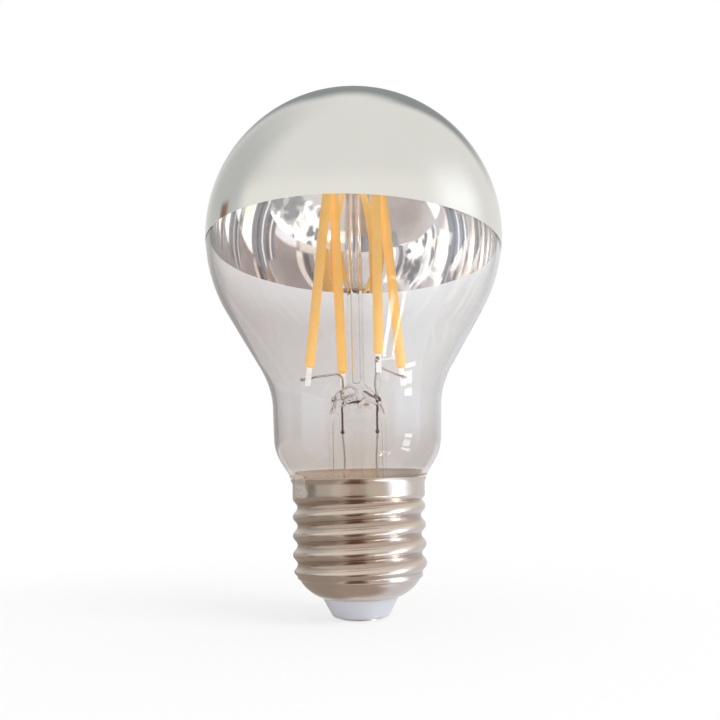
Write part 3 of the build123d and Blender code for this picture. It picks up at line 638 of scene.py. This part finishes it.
class Skin:
    """Vertices and faces of a piece, in millimetres, made from rows of points round the axis."""

    def __init__(self):
        self.vertices = []
        self.faces = []

    def add_rows(self, rings, loop=False):
        """Rings of points, from the bottom up on an outside; a ring of one point is a pole."""
        longest = max(len(ring) for ring in rings)
        rows = []
        for ring in rings:
            start = len(self.vertices)
            self.vertices.extend(ring)
            numbers = range(start, start + len(ring))
            rows.append(list(numbers) if len(ring) > 1 else [start] * longest)
        self.faces.extend(join_rows(rows, loop))
        return self

    def turn(self, profile, around=AROUND, loop=False):
        """Turns a profile of (radius, height) about the axis."""
        return self.add_rows([circle(r, z, around) for r, z in profile], loop)

    def piece(self, name, finishes, slot, stands_for=(), place=None):
        """The mesh object, smooth but for edges over the sharp angle, riding with the bulb."""
        mesh = bpy.data.meshes.new(name)
        mesh.from_pydata([Vector(v) * MM for v in self.vertices], [], self.faces)
        mesh.shade_smooth()
        mesh.set_sharp_from_angle(angle=math.radians(SHARP_ANGLE))
        if place is not None:
            mesh.transform(place)
        for finish in finishes:
            mesh.materials.append(finish)
        made = bpy.data.objects.new(name, mesh)
        bpy.context.scene.collection.objects.link(made)
        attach(made, "root")
        if stands_for:
            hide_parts(*stands_for)
        return made


def circle(radius, height, around=AROUND):
    """Ring of points round the axis, or its one pole."""
    if radius < TINY:
        return [(0, 0, height)]
    angles = [math.tau * i / around for i in range(around)]
    return [(radius * math.cos(a), radius * math.sin(a), height) for a in angles]


def arc(centre, radius, start, end, steps):
    """Points (r, z) along an arc, angles in degrees."""
    points = []
    for i in range(steps + 1):
        angle = math.radians(start + (end - start) * i / steps)
        points.append((centre[0] + radius * math.cos(angle), centre[1] + radius * math.sin(angle)))
    return points


def line(first, last, steps):
    """Points along a straight run, without its first point."""
    return [tuple(a + (b - a) * i / steps for a, b in zip(first, last)) for i in range(1, steps + 1)]


def ease(value, low, high):
    """0 below low, 1 above high, and smooth between them."""
    share = min(1.0, max(0.0, (value - low) / (high - low)))
    return share * share * (3 - 2 * share)


def between(first, last, share):
    """The number at a share of the way from the first to the last."""
    return first + (last - first) * share


def uneven(point, grain, shift=(0, 0, 0)):
    """Smooth noise between -1 and 1 at a point, with grain steps to a millimetre along each axis."""
    return noise.noise(Vector([p * g + s for p, g, s in zip(point, grain, shift)]))


def glass_profile(inset):
    """Glass section from the end of the neck up to the pole, moved in from the outside by inset."""
    across = NECK_R + NECK_CURVE_R
    down = BALL_Z - NECK_TOP_Z
    tangent = math.acos((BALL_R + NECK_CURVE_R) / math.hypot(across, down))
    low = math.degrees(math.atan2(down, across) - tangent)
    slope = math.radians(SHOULDER_ANGLE)
    centre = (NECK_R - NECK_TAPER - SHOULDER_R, SHOULDER_Z)
    shoulder = arc(centre, SHOULDER_R - inset, -SHOULDER_ANGLE, 0, steps=16)
    seal_r = SEAL_R - inset
    bend_z = shoulder[0][1] - (shoulder[0][0] - seal_r) / math.tan(slope)
    curve = arc((across, NECK_TOP_Z), NECK_CURVE_R + inset, 180, 180 - low, steps=28)
    ball = arc((0, BALL_Z), BALL_R - inset, -low, 90, steps=110)
    profile = [(seal_r, SEAL_Z), (seal_r, bend_z)]
    for run in (shoulder, curve, ball):
        profile += line(profile[-1], run[0], steps=6) + run[1:]
    profile[-1] = (0, profile[-1][1])
    return profile


def glass_envelope(finish):
    """Blown glass, its outside and inside as one closed skin."""
    skin = Skin().turn(glass_profile(0) + glass_profile(GLASS_WALL)[::-1], loop=True)
    return skin.piece("blown_glass", [finish], "clear_glass", ["glass_envelope"])


def silver_crown(outside, inside):
    """Mirror film on the dome, turned about an axis that leans with its edge."""
    lean_x, lean_y = (math.tan(math.radians(angle)) for angle in (CROWN_LEAN_X, CROWN_LEAN_Y))
    lean = Vector((lean_x, lean_y, 1)).normalized()
    inner = BALL_R + FILM_GAP
    low = -math.degrees(math.asin(CROWN_DROP * lean.z / BALL_R))
    over = arc((0, 0), inner + FILM, low, 90, steps=120)
    under = arc((0, 0), inner, low, 90, steps=120)[::-1]
    over[-1] = (0, inner + FILM)
    under[0] = (0, inner)
    turn = Vector((0, 0, 1)).rotation_difference(lean).to_matrix().to_4x4()
    place = Matrix.Translation((0, 0, BALL_Z * MM)) @ turn
    skin = Skin().turn(over + under, loop=True)
    crown = skin.piece("crown_film", [outside, inside], "crown_mirror", ["silver_crown"], place=place)
    centre = Vector((0, 0, BALL_Z * MM))
    for face in crown.data.polygons:
        face.material_index = int(face.normal.dot(face.center - centre) < 0)
    return crown


def thread_turn():
    """Angle that the thread's crest and root arcs span each way, and half the height of the crest's."""
    half = PITCH / 2
    rise = CREST_R - ROOT_R - 2 * THREAD_ARC_R
    spread = math.acos(2 * THREAD_ARC_R / math.hypot(half, rise))
    turn = math.atan2(-rise, half) + spread
    return turn, THREAD_ARC_R * math.sin(turn)


def thread_radius(angle, z):
    """Radius of the endless rolled thread at an angle round the axis and a height."""
    half = PITCH / 2
    off = abs((z - CREST_Z - PITCH * angle / math.tau + half) % PITCH - half)
    turn, reach = thread_turn()
    if off <= reach:
        return CREST_R - THREAD_ARC_R + math.sqrt(THREAD_ARC_R**2 - off**2)
    if off >= half - reach:
        return ROOT_R + THREAD_ARC_R - math.sqrt(THREAD_ARC_R**2 - (half - off) ** 2)
    crest_end = CREST_R - THREAD_ARC_R * (1 - math.cos(turn))
    root_end = ROOT_R + THREAD_ARC_R * (1 - math.cos(turn))
    return between(crest_end, root_end, (off - reach) / (half - 2 * reach))


def cone_profile(inset):
    """Closing cone of the cap from its end up to the thread."""
    low = (CAP_END_R, CAP_END_Z + inset)
    top = (ROOT_R - inset, CONE_Z)
    chord = math.hypot(top[0] - low[0], top[1] - low[1])
    out = ((top[1] - low[1]) / chord, -(top[0] - low[0]) / chord)
    radius = (chord**2 / 4 + CONE_BULGE**2) / (2 * CONE_BULGE)
    back = radius - CONE_BULGE
    centre = ((low[0] + top[0]) / 2 - back * out[0], (low[1] + top[1]) / 2 - back * out[1])
    ends = [math.degrees(math.atan2(p[1] - centre[1], p[0] - centre[0])) for p in (low, top)]
    return arc(centre, radius, *ends, steps=24)


def collar_profile(inset):
    """Thread core, collar and flared rim above the cone; the outside ends in the roll of the edge."""
    core = ROOT_R - inset
    collar = CREST_R - inset
    points = line((core, CONE_Z), (core, COLLAR_Z - COLLAR_SLOPE), steps=150)
    steps = 16
    for i in range(1, steps + 1):
        share = i / steps
        points.append((between(core, collar, ease(share, 0, 1)), COLLAR_Z - COLLAR_SLOPE * (1 - share)))
    points += line(points[-1], (collar, FLARE_Z), steps=6)
    for i in range(1, steps + 1):
        share = i / steps
        flared = collar + (RIM_R - CREST_R) * share**2
        points.append((flared, between(FLARE_Z, RIM_Z - RIM_ROLL, share)))
    if inset:
        return points
    return points + arc((RIM_R - RIM_ROLL, RIM_Z - RIM_ROLL), RIM_ROLL, 0, 90, steps=6)[1:]


def threaded_ring(radius, z, inset):
    """Ring of the cap's wall with the thread raised on it."""
    ring = []
    depth = ease(z, *THREAD_FADE)
    for i in range(AROUND):
        angle = math.tau * i / AROUND
        ridge = between(ROOT_R, thread_radius(angle, z), depth) - inset
        r = max(radius, ridge) if CONE_Z - THREAD_SEAT < z < COLLAR_Z else radius
        ring.append((r * math.cos(angle), r * math.sin(angle), z))
    return ring


def cap_shell(finish):
    """Rolled cap: closing cone, thread, collar and flared rim, with its sheet's inside."""
    outer = cone_profile(0) + collar_profile(0)
    inner = cone_profile(SHEET)[::INSIDE_STEP] + collar_profile(SHEET)[::INSIDE_STEP]
    inner.append((RIM_R - SHEET, RIM_Z))
    rings = [circle(CAP_END_R - LIP, CAP_END_Z)]
    rings += [threaded_ring(r, z, 0) for r, z in outer]
    rings += [threaded_ring(r, z, SHEET) for r, z in inner[::-1]]
    rings += [circle(CAP_END_R - LIP, CAP_END_Z + SHEET)]
    skin = Skin().add_rows(rings, loop=True)
    return skin.piece("rolled_cap", [finish], "cap_nickel", ["cap_shell"])


def oval(half_x, half_y, power, z):
    """Ring between an ellipse, at power 2, and a rounded rectangle, at a higher one."""
    ring = []
    for i in range(OVAL_AROUND):
        angle = math.tau * i / OVAL_AROUND
        c, s = math.cos(angle), math.sin(angle)
        reach = (abs(c / half_x) ** power + abs(s / half_y) ** power) ** (-1 / power)
        ring.append((reach * c, reach * s, z))
    return ring


def crumple(ring, amount):
    """Folds a ring in and out by smooth noise, as squeezed hot glass."""
    moved = []
    for x, y, z in ring:
        fold = amount * uneven((x, y, z), FOLD_GRAIN)
        lift = amount * uneven((x, y, z), LIFT_GRAIN, LIFT_SHIFT)
        moved.append((x * (1 + FOLD_WIDTH * fold), y * (1 + FOLD_DEPTH * fold), z + FOLD_LIFT * lift))
    return moved


def smooth_through(rows, place):
    """Numbers of the rows at a place between them, on a smooth curve through all of them."""
    first = min(int(place), len(rows) - 2)
    share = place - first
    before, low, high, after = (rows[min(max(first + i, 0), len(rows) - 1)] for i in (-1, 0, 1, 2))
    numbers = []
    for a, b, c, d in zip(before, low, high, after):
        bend = (2 * a - 5 * b + 4 * c - d) * share**2 + (3 * b - a - 3 * c + d) * share**3
        numbers.append(b + ((c - a) * share + bend) / 2)
    return numbers


def pinch_rings():
    """The rings of the pinch with smooth steps between them."""
    rings = []
    for i in range(PINCH_STEPS * (len(PINCH_RINGS) - 1)):
        z, half_x, half_y, power, amount = smooth_through(PINCH_RINGS, i / PINCH_STEPS)
        rings.append(crumple(oval(half_x, half_y, power, z), amount))
    return rings


def stem_outside():
    """Rings of the stem's outside: flare, tube, pinch and column."""
    rings = []
    edge_r = SEAL_R - GLASS_WALL - STEM_GAP
    for i in range(FLARE_STEPS):
        share = i / FLARE_STEPS
        r = STEM_R + (edge_r - STEM_R) * (1 - share) ** FLARE_POWER
        rings.append(oval(r, r, 2, between(SEAL_Z + FLARE_EDGE, FLARE_TOP_Z, share)))
    for i in range(TUBE_STEPS):
        rings.append(oval(STEM_R, STEM_R, 2, between(FLARE_TOP_Z, STEM_TOP_Z, i / TUBE_STEPS)))
    rings += pinch_rings()
    foot_z = PINCH_RINGS[-1][0]
    top_z = COLUMN_TOP_Z - COLUMN_R / 2
    for i in range(COLUMN_STEPS + 1):
        rings.append(oval(COLUMN_R, COLUMN_R, 2, between(foot_z, top_z, i / COLUMN_STEPS)))
    for r, z in arc((0, 0), 1, 0, 90, steps=8)[1:-1]:
        rings.append(oval(COLUMN_R * r, COLUMN_R * r, 2, top_z + z * COLUMN_R / 2))
    return rings + [[(0, 0, COLUMN_TOP_Z)]]


def stem_inside():
    """Rings of the hollow in the stem's tube, from the slot in the pinch down to the flare."""
    bore = STEM_R - STEM_WALL
    slot_top = PINCH_Z - STEM_WALL
    rings = [[(0, 0, slot_top + SLOT_ARCH)]]
    for i in range(1, ARCH_STEPS):
        share = i / ARCH_STEPS
        half = math.sqrt(1 - (1 - share) ** 2)
        z = slot_top + SLOT_ARCH * (1 - share)
        rings.append(oval((PINCH_W / 2 - STEM_WALL) * half, STEM_WALL / 2 * share, 2, z))
    for i in range(SLOT_STEPS + 1):
        share = ease(i, 0, SLOT_STEPS)
        z = between(slot_top, STEM_TOP_Z, i / SLOT_STEPS)
        half_x = between(PINCH_W / 2 - STEM_WALL, bore, share)
        rings.append(oval(half_x, between(STEM_WALL / 2, bore, share), 2, z))
    for i in range(1, BORE_STEPS + 1):
        rings.append(oval(bore, bore, 2, between(STEM_TOP_Z, FLARE_TOP_Z, i / BORE_STEPS)))
    edge_r = SEAL_R - GLASS_WALL - STEM_GAP - FLARE_EDGE
    for i in range(1, FLARE_STEPS + 1):
        share = i / FLARE_STEPS
        r = bore + (edge_r - bore) * share**FLARE_POWER
        rings.append(oval(r, r, 2, between(FLARE_TOP_Z, SEAL_Z, share)))
    return rings


def stem(tube_glass, pinch_glass, column_glass):
    """Flare, tube, pinch and column as one skin, with the column's closed bore inside it."""
    skin = Skin().add_rows(stem_outside())
    shell = len(skin.faces)
    skin.add_rows(stem_inside())
    hollow = len(skin.faces)
    low_edge = list(range(len(skin.vertices) - OVAL_AROUND, len(skin.vertices)))
    skin.faces.extend(join_rows([low_edge, list(range(OVAL_AROUND))]))
    bore_top = COLUMN_TOP_Z - COLUMN_CAP
    bore = [(0, bore_top)] + arc((0, bore_top - COLUMN_BORE_R), COLUMN_BORE_R, ROUND_END, 0, steps=8)
    bore += line(bore[-1], (COLUMN_BORE_R, COLUMN_BORE_Z), steps=30)
    bore += arc((0, COLUMN_BORE_Z), COLUMN_BORE_R, 0, -ROUND_END, steps=8)[1:]
    bore.append((0, COLUMN_BORE_Z - COLUMN_BORE_R))
    skin.turn(bore, TUBE_AROUND)
    made = skin.piece("fused_stem", [tube_glass, pinch_glass, column_glass], "clear_glass", ["stem"])
    for face in made.data.polygons:
        in_tube = shell <= face.index < hollow
        if not in_tube:
            height = face.center.z / MM
            face.material_index = int(height > PINCH_GLASS_Z) + int(height > COLUMN_GLASS_Z)
    return made


def exhaust_tube(finish):
    """Tube in the middle of the stem, drawn out and sealed at its tip."""
    tip = arc((0, EXHAUST_TIP_Z + EXHAUST_R), EXHAUST_R, -90, 0, steps=10)
    tip[0] = (0, EXHAUST_TIP_Z)
    top_z = PINCH_Z - STEM_WALL - EXHAUST_GAP
    outside = tip + line(tip[-1], (EXHAUST_R, top_z - EXHAUST_R), steps=20)
    outside += arc((0, top_z - EXHAUST_R), EXHAUST_R, 0, ROUND_END, steps=8)[1:] + [(0, top_z)]
    bore_low = EXHAUST_TIP_Z + 2 * EXHAUST_R
    bore_top = top_z - 2 * EXHAUST_R
    bore = [(0, bore_top + EXHAUST_BORE_R), (EXHAUST_BORE_R, bore_top)]
    bore += line(bore[-1], (EXHAUST_BORE_R, bore_low), steps=20) + [(0, bore_low - EXHAUST_BORE_R)]
    skin = Skin().turn(outside, TUBE_AROUND).turn(bore, TUBE_AROUND)
    return skin.piece("exhaust_tube", [finish], "clear_glass", ["stem"])


def phosphor_rod(number, finish):
    """Filament rod with soft rounded ends and a slightly uneven skin."""
    low, high = (Vector(point) for point in FILAMENTS[number])
    along = (high - low).normalized()
    turn = Vector((0, 0, 1)).rotation_difference(along).to_matrix()
    ends = arc((FILAMENT_R - FILAMENT_END_R, FILAMENT_END_R), FILAMENT_END_R, -90, 0, steps=8)
    profile = [(0, 0)] + ends + line(ends[-1], (FILAMENT_R, FILAMENT_L - FILAMENT_END_R), steps=90)
    profile += [(r, FILAMENT_L - z) for r, z in ends[::-1]][1:] + [(0, FILAMENT_L)]
    rings = []
    for r, z in profile:
        ring = []
        for x, y, _ in circle(r, z, around=32):
            bulge = uneven((x, y, z), FILAMENT_GRAIN, (0, 0, FILAMENT_SHIFT * number))
            swell = 1 + FILAMENT_SWELL * bulge
            ring.append(tuple(low + turn @ Vector((x * swell, y * swell, z))))
        rings.append(ring)
    skin = Skin().add_rows(rings)
    return skin.piece(f"phosphor_rod_{number}", [finish], "phosphor", [f"led_filament_{number}"])


def strand(name, points, radius, flat, finish, slot):
    """Spindle along points, thickest in its middle; flat squeezes it from front to back."""
    rings = []
    steps = 24
    around = 20
    spans = len(points) - 1
    for i in range(steps + 1):
        share = min(i / steps * spans, spans - TINY)
        low = points[int(share)]
        high = points[int(share) + 1]
        centre = Vector(low).lerp(Vector(high), share - int(share))
        thick = radius * math.sqrt(max(STRAND_END, math.sin(math.pi * i / steps)))
        across = Vector((high[0] - low[0], 0, high[2] - low[2])).normalized()
        side = Vector((-across.z, 0, across.x))
        ring = []
        for j in range(around):
            angle = math.tau * j / around
            c, s = math.cos(angle), math.sin(angle)
            wave = 1 + STRAND_WAVE * noise.noise(centre * STRAND_GRAIN + Vector((c, s, 0)))
            ring.append(tuple(centre + side * thick * wave * c
                              - Vector((0, flat * thick * wave * s, 0))))
        rings.append(ring)
    rings = [[points[0]]] + rings + [[points[-1]]]
    return Skin().add_rows(rings).piece(name, [finish], slot)


def blob(name, centre, radius, finish, slot):
    """Lumpy drop of weld metal."""
    ball = arc((0, 0), 1, -90, 90, steps=14)
    ball[0], ball[-1] = (0, -1), (0, 1)
    rings = []
    for r, z in ball:
        ring = []
        for x, y, height in circle(r, z, around=24):
            bulge = noise.noise(Vector((x, y, height)) * LUMP_GRAIN + Vector(centre))
            lump = radius * (1 + LUMP * bulge)
            ring.append((centre[0] + x * lump, centre[1] + y * lump, centre[2] + height * lump))
        rings.append(ring)
    return Skin().add_rows(rings).piece(name, [finish], slot)


def wall_radius(z):
    """Outside radius of the cap's collar and rim, or of the glass shoulder above them."""
    if z > RIM_Z:
        return RIM_R + (z - RIM_Z) * math.tan(math.radians(SHOULDER_ANGLE)) - SHEET
    flare = max(0.0, (z - FLARE_Z) / (RIM_Z - FLARE_Z)) ** 2 * (RIM_R - CREST_R)
    sink = ease(COLLAR_Z - z, 0, COLLAR_SLOPE) * (CREST_R - ROOT_R)
    return CREST_R + flare - sink


def glue_drip(finish):
    """Tongue of glue from under the glass down over the collar, at the left."""
    rows, columns = 48, 32
    rings = []
    for outward in (1, 0):
        sheet = []
        for i in range(rows + 1):
            fall = i / rows
            waist = 1 - DRIP_WAIST * math.sin(math.pi * min(1, fall * DRIP_WAIST_END))
            half = DRIP_HALF * math.sqrt(max(0.0, 1 - fall**3)) * waist
            row = []
            for j in range(columns + 1):
                across = 2 * j / columns - 1
                rag = uneven((across, 0, 0), DRIP_RAG_GRAIN, DRIP_RAG_SHIFT)
                top = DRIP_TOP_Z - DRIP_RAG * (across**2 + rag)
                z = between(top, DRIP_TIP_Z, fall)
                angle = math.radians(DRIP_ANGLE + DRIP_LEAN * fall + half * across)
                fold = 0.5 + uneven((across, fall, 0), DRIP_FOLD_GRAIN, DRIP_FOLD_SHIFT)
                swell = math.sqrt(max(0.0, 1 - across**2)) * math.sqrt(max(0.0, 1 - fall**4))
                thick = outward * swell * DRIP_T * (DRIP_THIN + DRIP_FOLD * fold)
                r = wall_radius(z) + DRIP_SEAT + thick
                row.append((r * math.sin(angle), -r * math.cos(angle), z))
            sheet.append(row)
        rings.append(sheet)
    skin = Skin()
    outer, inner = rings
    for front, back in zip(outer, inner):
        skin.vertices.extend(front + back[::-1])
    length = 2 * (columns + 1)
    numbers = [list(range(i * length, (i + 1) * length)) for i in range(rows + 1)]
    skin.faces.extend(join_rows(numbers[::-1]))
    skin.faces.append(numbers[0])
    skin.faces.append(numbers[-1][::-1])
    return skin.piece("glue_drip", [finish], "cement")


def dress(names, finish, bevel=0.0):
    """Gives CAD nodes a finish, and a fine bevel where their edges are square."""
    for name in names:
        node = nodes[name]
        node.data.materials.clear()
        node.data.materials.append(finish)
        if bevel:
            edge = node.modifiers.new("edge", "BEVEL")
            edge.width = bevel * MM
            edge.segments = 2


def floor():
    """Pale floor that fades into the white backdrop and keeps the bulb's shadow.

    It isn't mirrored, and it is clear from below.
    """
    mesh = bpy.data.meshes.new("floor")
    sides = ((-1, -1), (1, -1), (1, 1), (-1, 1))
    mesh.from_pydata([(FLOOR_HALF * x, FLOOR_HALF * y, FLOOR_Z) for x, y in sides], [], [(0, 1, 2, 3)])
    made, f = material("floor")
    body = f.node("BsdfDiffuse", None, {"Color": FLOOR_GREY})
    page = f.node("Emission", None, {"Color": WHITE, "Strength": 1.0})
    away = f.node("VectorMath", {"operation": "LENGTH"}, {0: f.place()}, output="Value")
    seen = f.ray("Is Camera Ray").larger(f.ray("Is Transmission Ray"))
    fade = FLOOR_WHITE + (1 - FLOOR_WHITE) * away.rise(*FLOOR_FADE)
    plain = f.mix(seen * fade, body, page)
    below = f.node("NewGeometry", output="Backfacing")
    hidden = f.ray("Glossy Depth").counted().larger(below)
    f.show(f.mix(hidden, plain, f.node("BsdfTransparent")))
    mesh.materials.append(made)
    plane = bpy.data.objects.new("floor", mesh)
    bpy.context.scene.collection.objects.link(plane)


def light_level(screen, strength):
    """Linear colour of a light of a screen colour and a strength."""
    return (*(level * strength for level in paint(*screen)[:3]), 1.0)


def panels(f, azimuth, elevation, rows, base):
    """Soft-edged panels of light, each laid over those before it."""
    colour = light_level(*base)
    for _, across, up, screen, strength, soft in rows:
        mask = azimuth.window(*across, soft) * elevation.window(*up, soft)
        colour = f.blend(mask, colour, light_level(screen, strength))
    return colour


def studio():
    """White backdrop for what is seen directly or through glass, and the room for reflections."""
    world = bpy.data.worlds.new("studio")
    world.use_nodes = True
    bpy.context.scene.world = world
    f = Finish(world.node_tree)
    direction = f.node("TexCoord", output="Generated")
    x, y, z = f.axes(direction, "XYZ")
    degree = 180 / math.pi
    azimuth = x.math("ARCTAN2", x, 0 - y) * degree
    elevation = z.math("ARCSINE", z) * degree
    room = panels(f, azimuth, elevation, ROOM, ROOM_BASE)
    high = panels(f, azimuth, elevation, HIGH_PANELS, SOFT_LIGHT)
    mirror = panels(f, azimuth, elevation, MIRROR_PANELS, MIRROR_BASE)
    mottle = f.node("TexNoise", None, {"Vector": direction, "Scale": MOTTLE_SCALE, "Detail": 2.0})
    window = azimuth.window(*MOTTLE_AZIMUTH, MOTTLE_SOFT)
    window = window * elevation.window(*MOTTLE_ELEVATION, MOTTLE_SOFT)
    mirror = f.blend(window * mottle.rise(*MOTTLE_WHITE_SPAN), mirror, light_level(*MOTTLE_WHITE))
    mirror = f.blend(window * (1 - mottle.rise(*MOTTLE_GREY_SPAN)), mirror, light_level(*MOTTLE_GREY))
    crossings = f.ray("Transmission Depth")
    within = f.blend(crossings.above(MIRROR_CROSSINGS), high, mirror)
    reflection = f.blend(crossings.counted(), room, within)
    colour = f.blend(f.ray("Glossy Depth").counted(), WHITE, reflection)
    colour = f.blend(f.ray("Is Diffuse Ray"), colour, SCATTERED_LIGHT)
    f.show(f.node("Background", None, {"Color": colour, "Strength": 1.0}), "World")


def lamp(name, place, size, power, colour):
    """Soft lamp aimed at the middle of the bulb."""
    light = bpy.data.lights.new(name, "AREA")
    light.shape = "DISK"
    light.size = size
    light.energy = power
    light.color = colour
    made = bpy.data.objects.new(name, light)
    made.location = place
    aim = Vector(LAMP_AIM) - Vector(place)
    made.rotation_euler = aim.to_track_quat("-Z", "Y").to_euler()
    made.visible_glossy = False
    made.visible_transmission = False
    made.visible_camera = False
    bpy.context.scene.collection.objects.link(made)


def camera():
    """The photograph's camera."""
    made = bpy.data.objects.new("camera", bpy.data.cameras.new("camera"))
    made.data.sensor_width = CAMERA_SENSOR
    made.data.lens = CAMERA_LENS
    made.data.clip_start = CAMERA_NEAR * MM
    tilt = Matrix.Rotation(math.radians(90 + CAMERA_TILT), 4, "X")
    roll = Matrix.Rotation(math.radians(CAMERA_ROLL), 4, "Z")
    made.matrix_world = Matrix.Translation(Vector(CAMERA_AT) * MM) @ tilt @ roll
    bpy.context.scene.collection.objects.link(made)
    bpy.context.scene.camera = made


def light_paths():
    """Enough bounces for light between the mirror, the glass walls and the stem."""
    cycles = bpy.context.scene.cycles
    cycles.max_bounces = 40
    cycles.glossy_bounces = 20
    cycles.transmission_bounces = 36
    cycles.transparent_max_bounces = 40


clear_glass = glass("clear_glass", neck_shaded_tint, ENVELOPE_SHADE, index=1.5, ripple=0.02, ripple_size=14.0)
tube_glass = glass("tube_glass", STEM_TINT, STEM_SHADE, index=1.02, ripple=0.01, ripple_size=2.0,
                   slant_tint=(0.95, 0.94, 0.93, 1))
pinch_glass = glass("pinch_glass", STEM_TINT, STEM_SHADE, index=1.45, ripple=0.03, ripple_size=1.2,
                    slant_tint=(0.30, 0.27, 0.25, 1))
column_glass = glass("column_glass", STEM_TINT, STEM_SHADE, index=1.2, ripple=0.01, ripple_size=2.0,
                     slant_tint=(0.70, 0.68, 0.66, 1))
nickel = cap_nickel()
nickel_wire = drawn_metal("nickel_wire", paint(196, 190, 184), paint(242, 238, 234), 0.2)
tinned_wire = drawn_metal("tinned_wire", paint(176, 169, 162), paint(224, 219, 214), 0.2)
seal_copper = drawn_metal("seal_copper", paint(104, 84, 72), paint(150, 124, 106), 0.35)
bright_strip = bright_tab()
contact_plate = drawn_metal("contact_plate", paint(186, 176, 160), paint(214, 206, 194), 0.25)

glass_envelope(clear_glass)
silver_crown(crown_lacquer(), crown_mirror())
cap_shell(nickel)
stem(tube_glass, pinch_glass, column_glass)
exhaust_tube(tube_glass)
rod_finish = phosphor()
for number in FILAMENTS:
    phosphor_rod(number, rod_finish)

streaks = {
    "brown": moulded("brown_streak", paint(78, 50, 38), paint(108, 74, 56), 0.3),
    # an orange streak that is a painted glint
    "orange_glint": moulded("painted_orange_glint", paint(206, 150, 96), paint(232, 184, 134), 0.3),
    # grey strands that are painted shade along the folds
    "grey": moulded("painted_fold_shade", paint(122, 108, 96), paint(154, 140, 128), 0.3),
    # white strands that are painted highlights on the folds
    "white_highlight": moulded("painted_highlight_fold", paint(236, 232, 228), paint(255, 253, 250), 0.15),
    "glass": pinch_glass,
}
for number, (finish, radius, points) in enumerate(PINCH_STREAKS, 1):
    strand(f"pinch_streak_{number}", points, radius, STREAK_FLAT, streaks[finish], "seal_wire")
for number, (finish, radius, points) in enumerate(PINCH_FOLDS, 1):
    strand(f"pinch_fold_{number}", points, radius, 1.0, streaks[finish], "clear_glass")
weld_metal = drawn_metal("weld_metal", paint(186, 178, 168), paint(236, 232, 226), 0.2,
                         grain_size=0.2, length=1.0)
for name, (centre, radius) in WELDS.items():
    blob(name, centre, radius, weld_metal, "lead_nickel")
glue_drip(glue())

dress([f"filament_strip_{number}" for number in FILAMENTS], bright_strip, bevel=0.05)
dress(["inner_lead_left", "inner_lead_right", "side_arm_right", "top_support"], nickel_wire)
dress(["seal_wire_left", "seal_wire_right"], seal_copper)
dress(["outer_lead_left", "outer_lead_right"], tinned_wire)
dress(["contact_wire", "resistor_lead", "shell_wire"], tinned_wire)
dress(["capping_cement"], cement())
dress(["cap_insulator"], insulator_white())
dress(["centre_contact"], contact_plate)
dress(["driver_board"], moulded("board_green", paint(28, 92, 52), paint(44, 116, 66), 0.4))
black = moulded("package_black", paint(28, 28, 30), paint(42, 42, 44), 0.5)
dress(["bridge_rectifier", "driver_chip"], black, bevel=0.1)
dress(["smoothing_capacitor"], moulded("capacitor_can", paint(52, 54, 70), paint(70, 72, 92), 0.35))
dress(["fuse_resistor"], moulded("resistor_body", paint(58, 110, 122), paint(80, 138, 148), 0.4))

floor()
studio()
lamp("right_window", place=(0.5, -0.35, 0.45), size=0.5, power=3.0, colour=(1.0, 0.99, 0.97))
camera()
light_paths()
bpy.context.scene.view_settings.view_transform = "Standard"
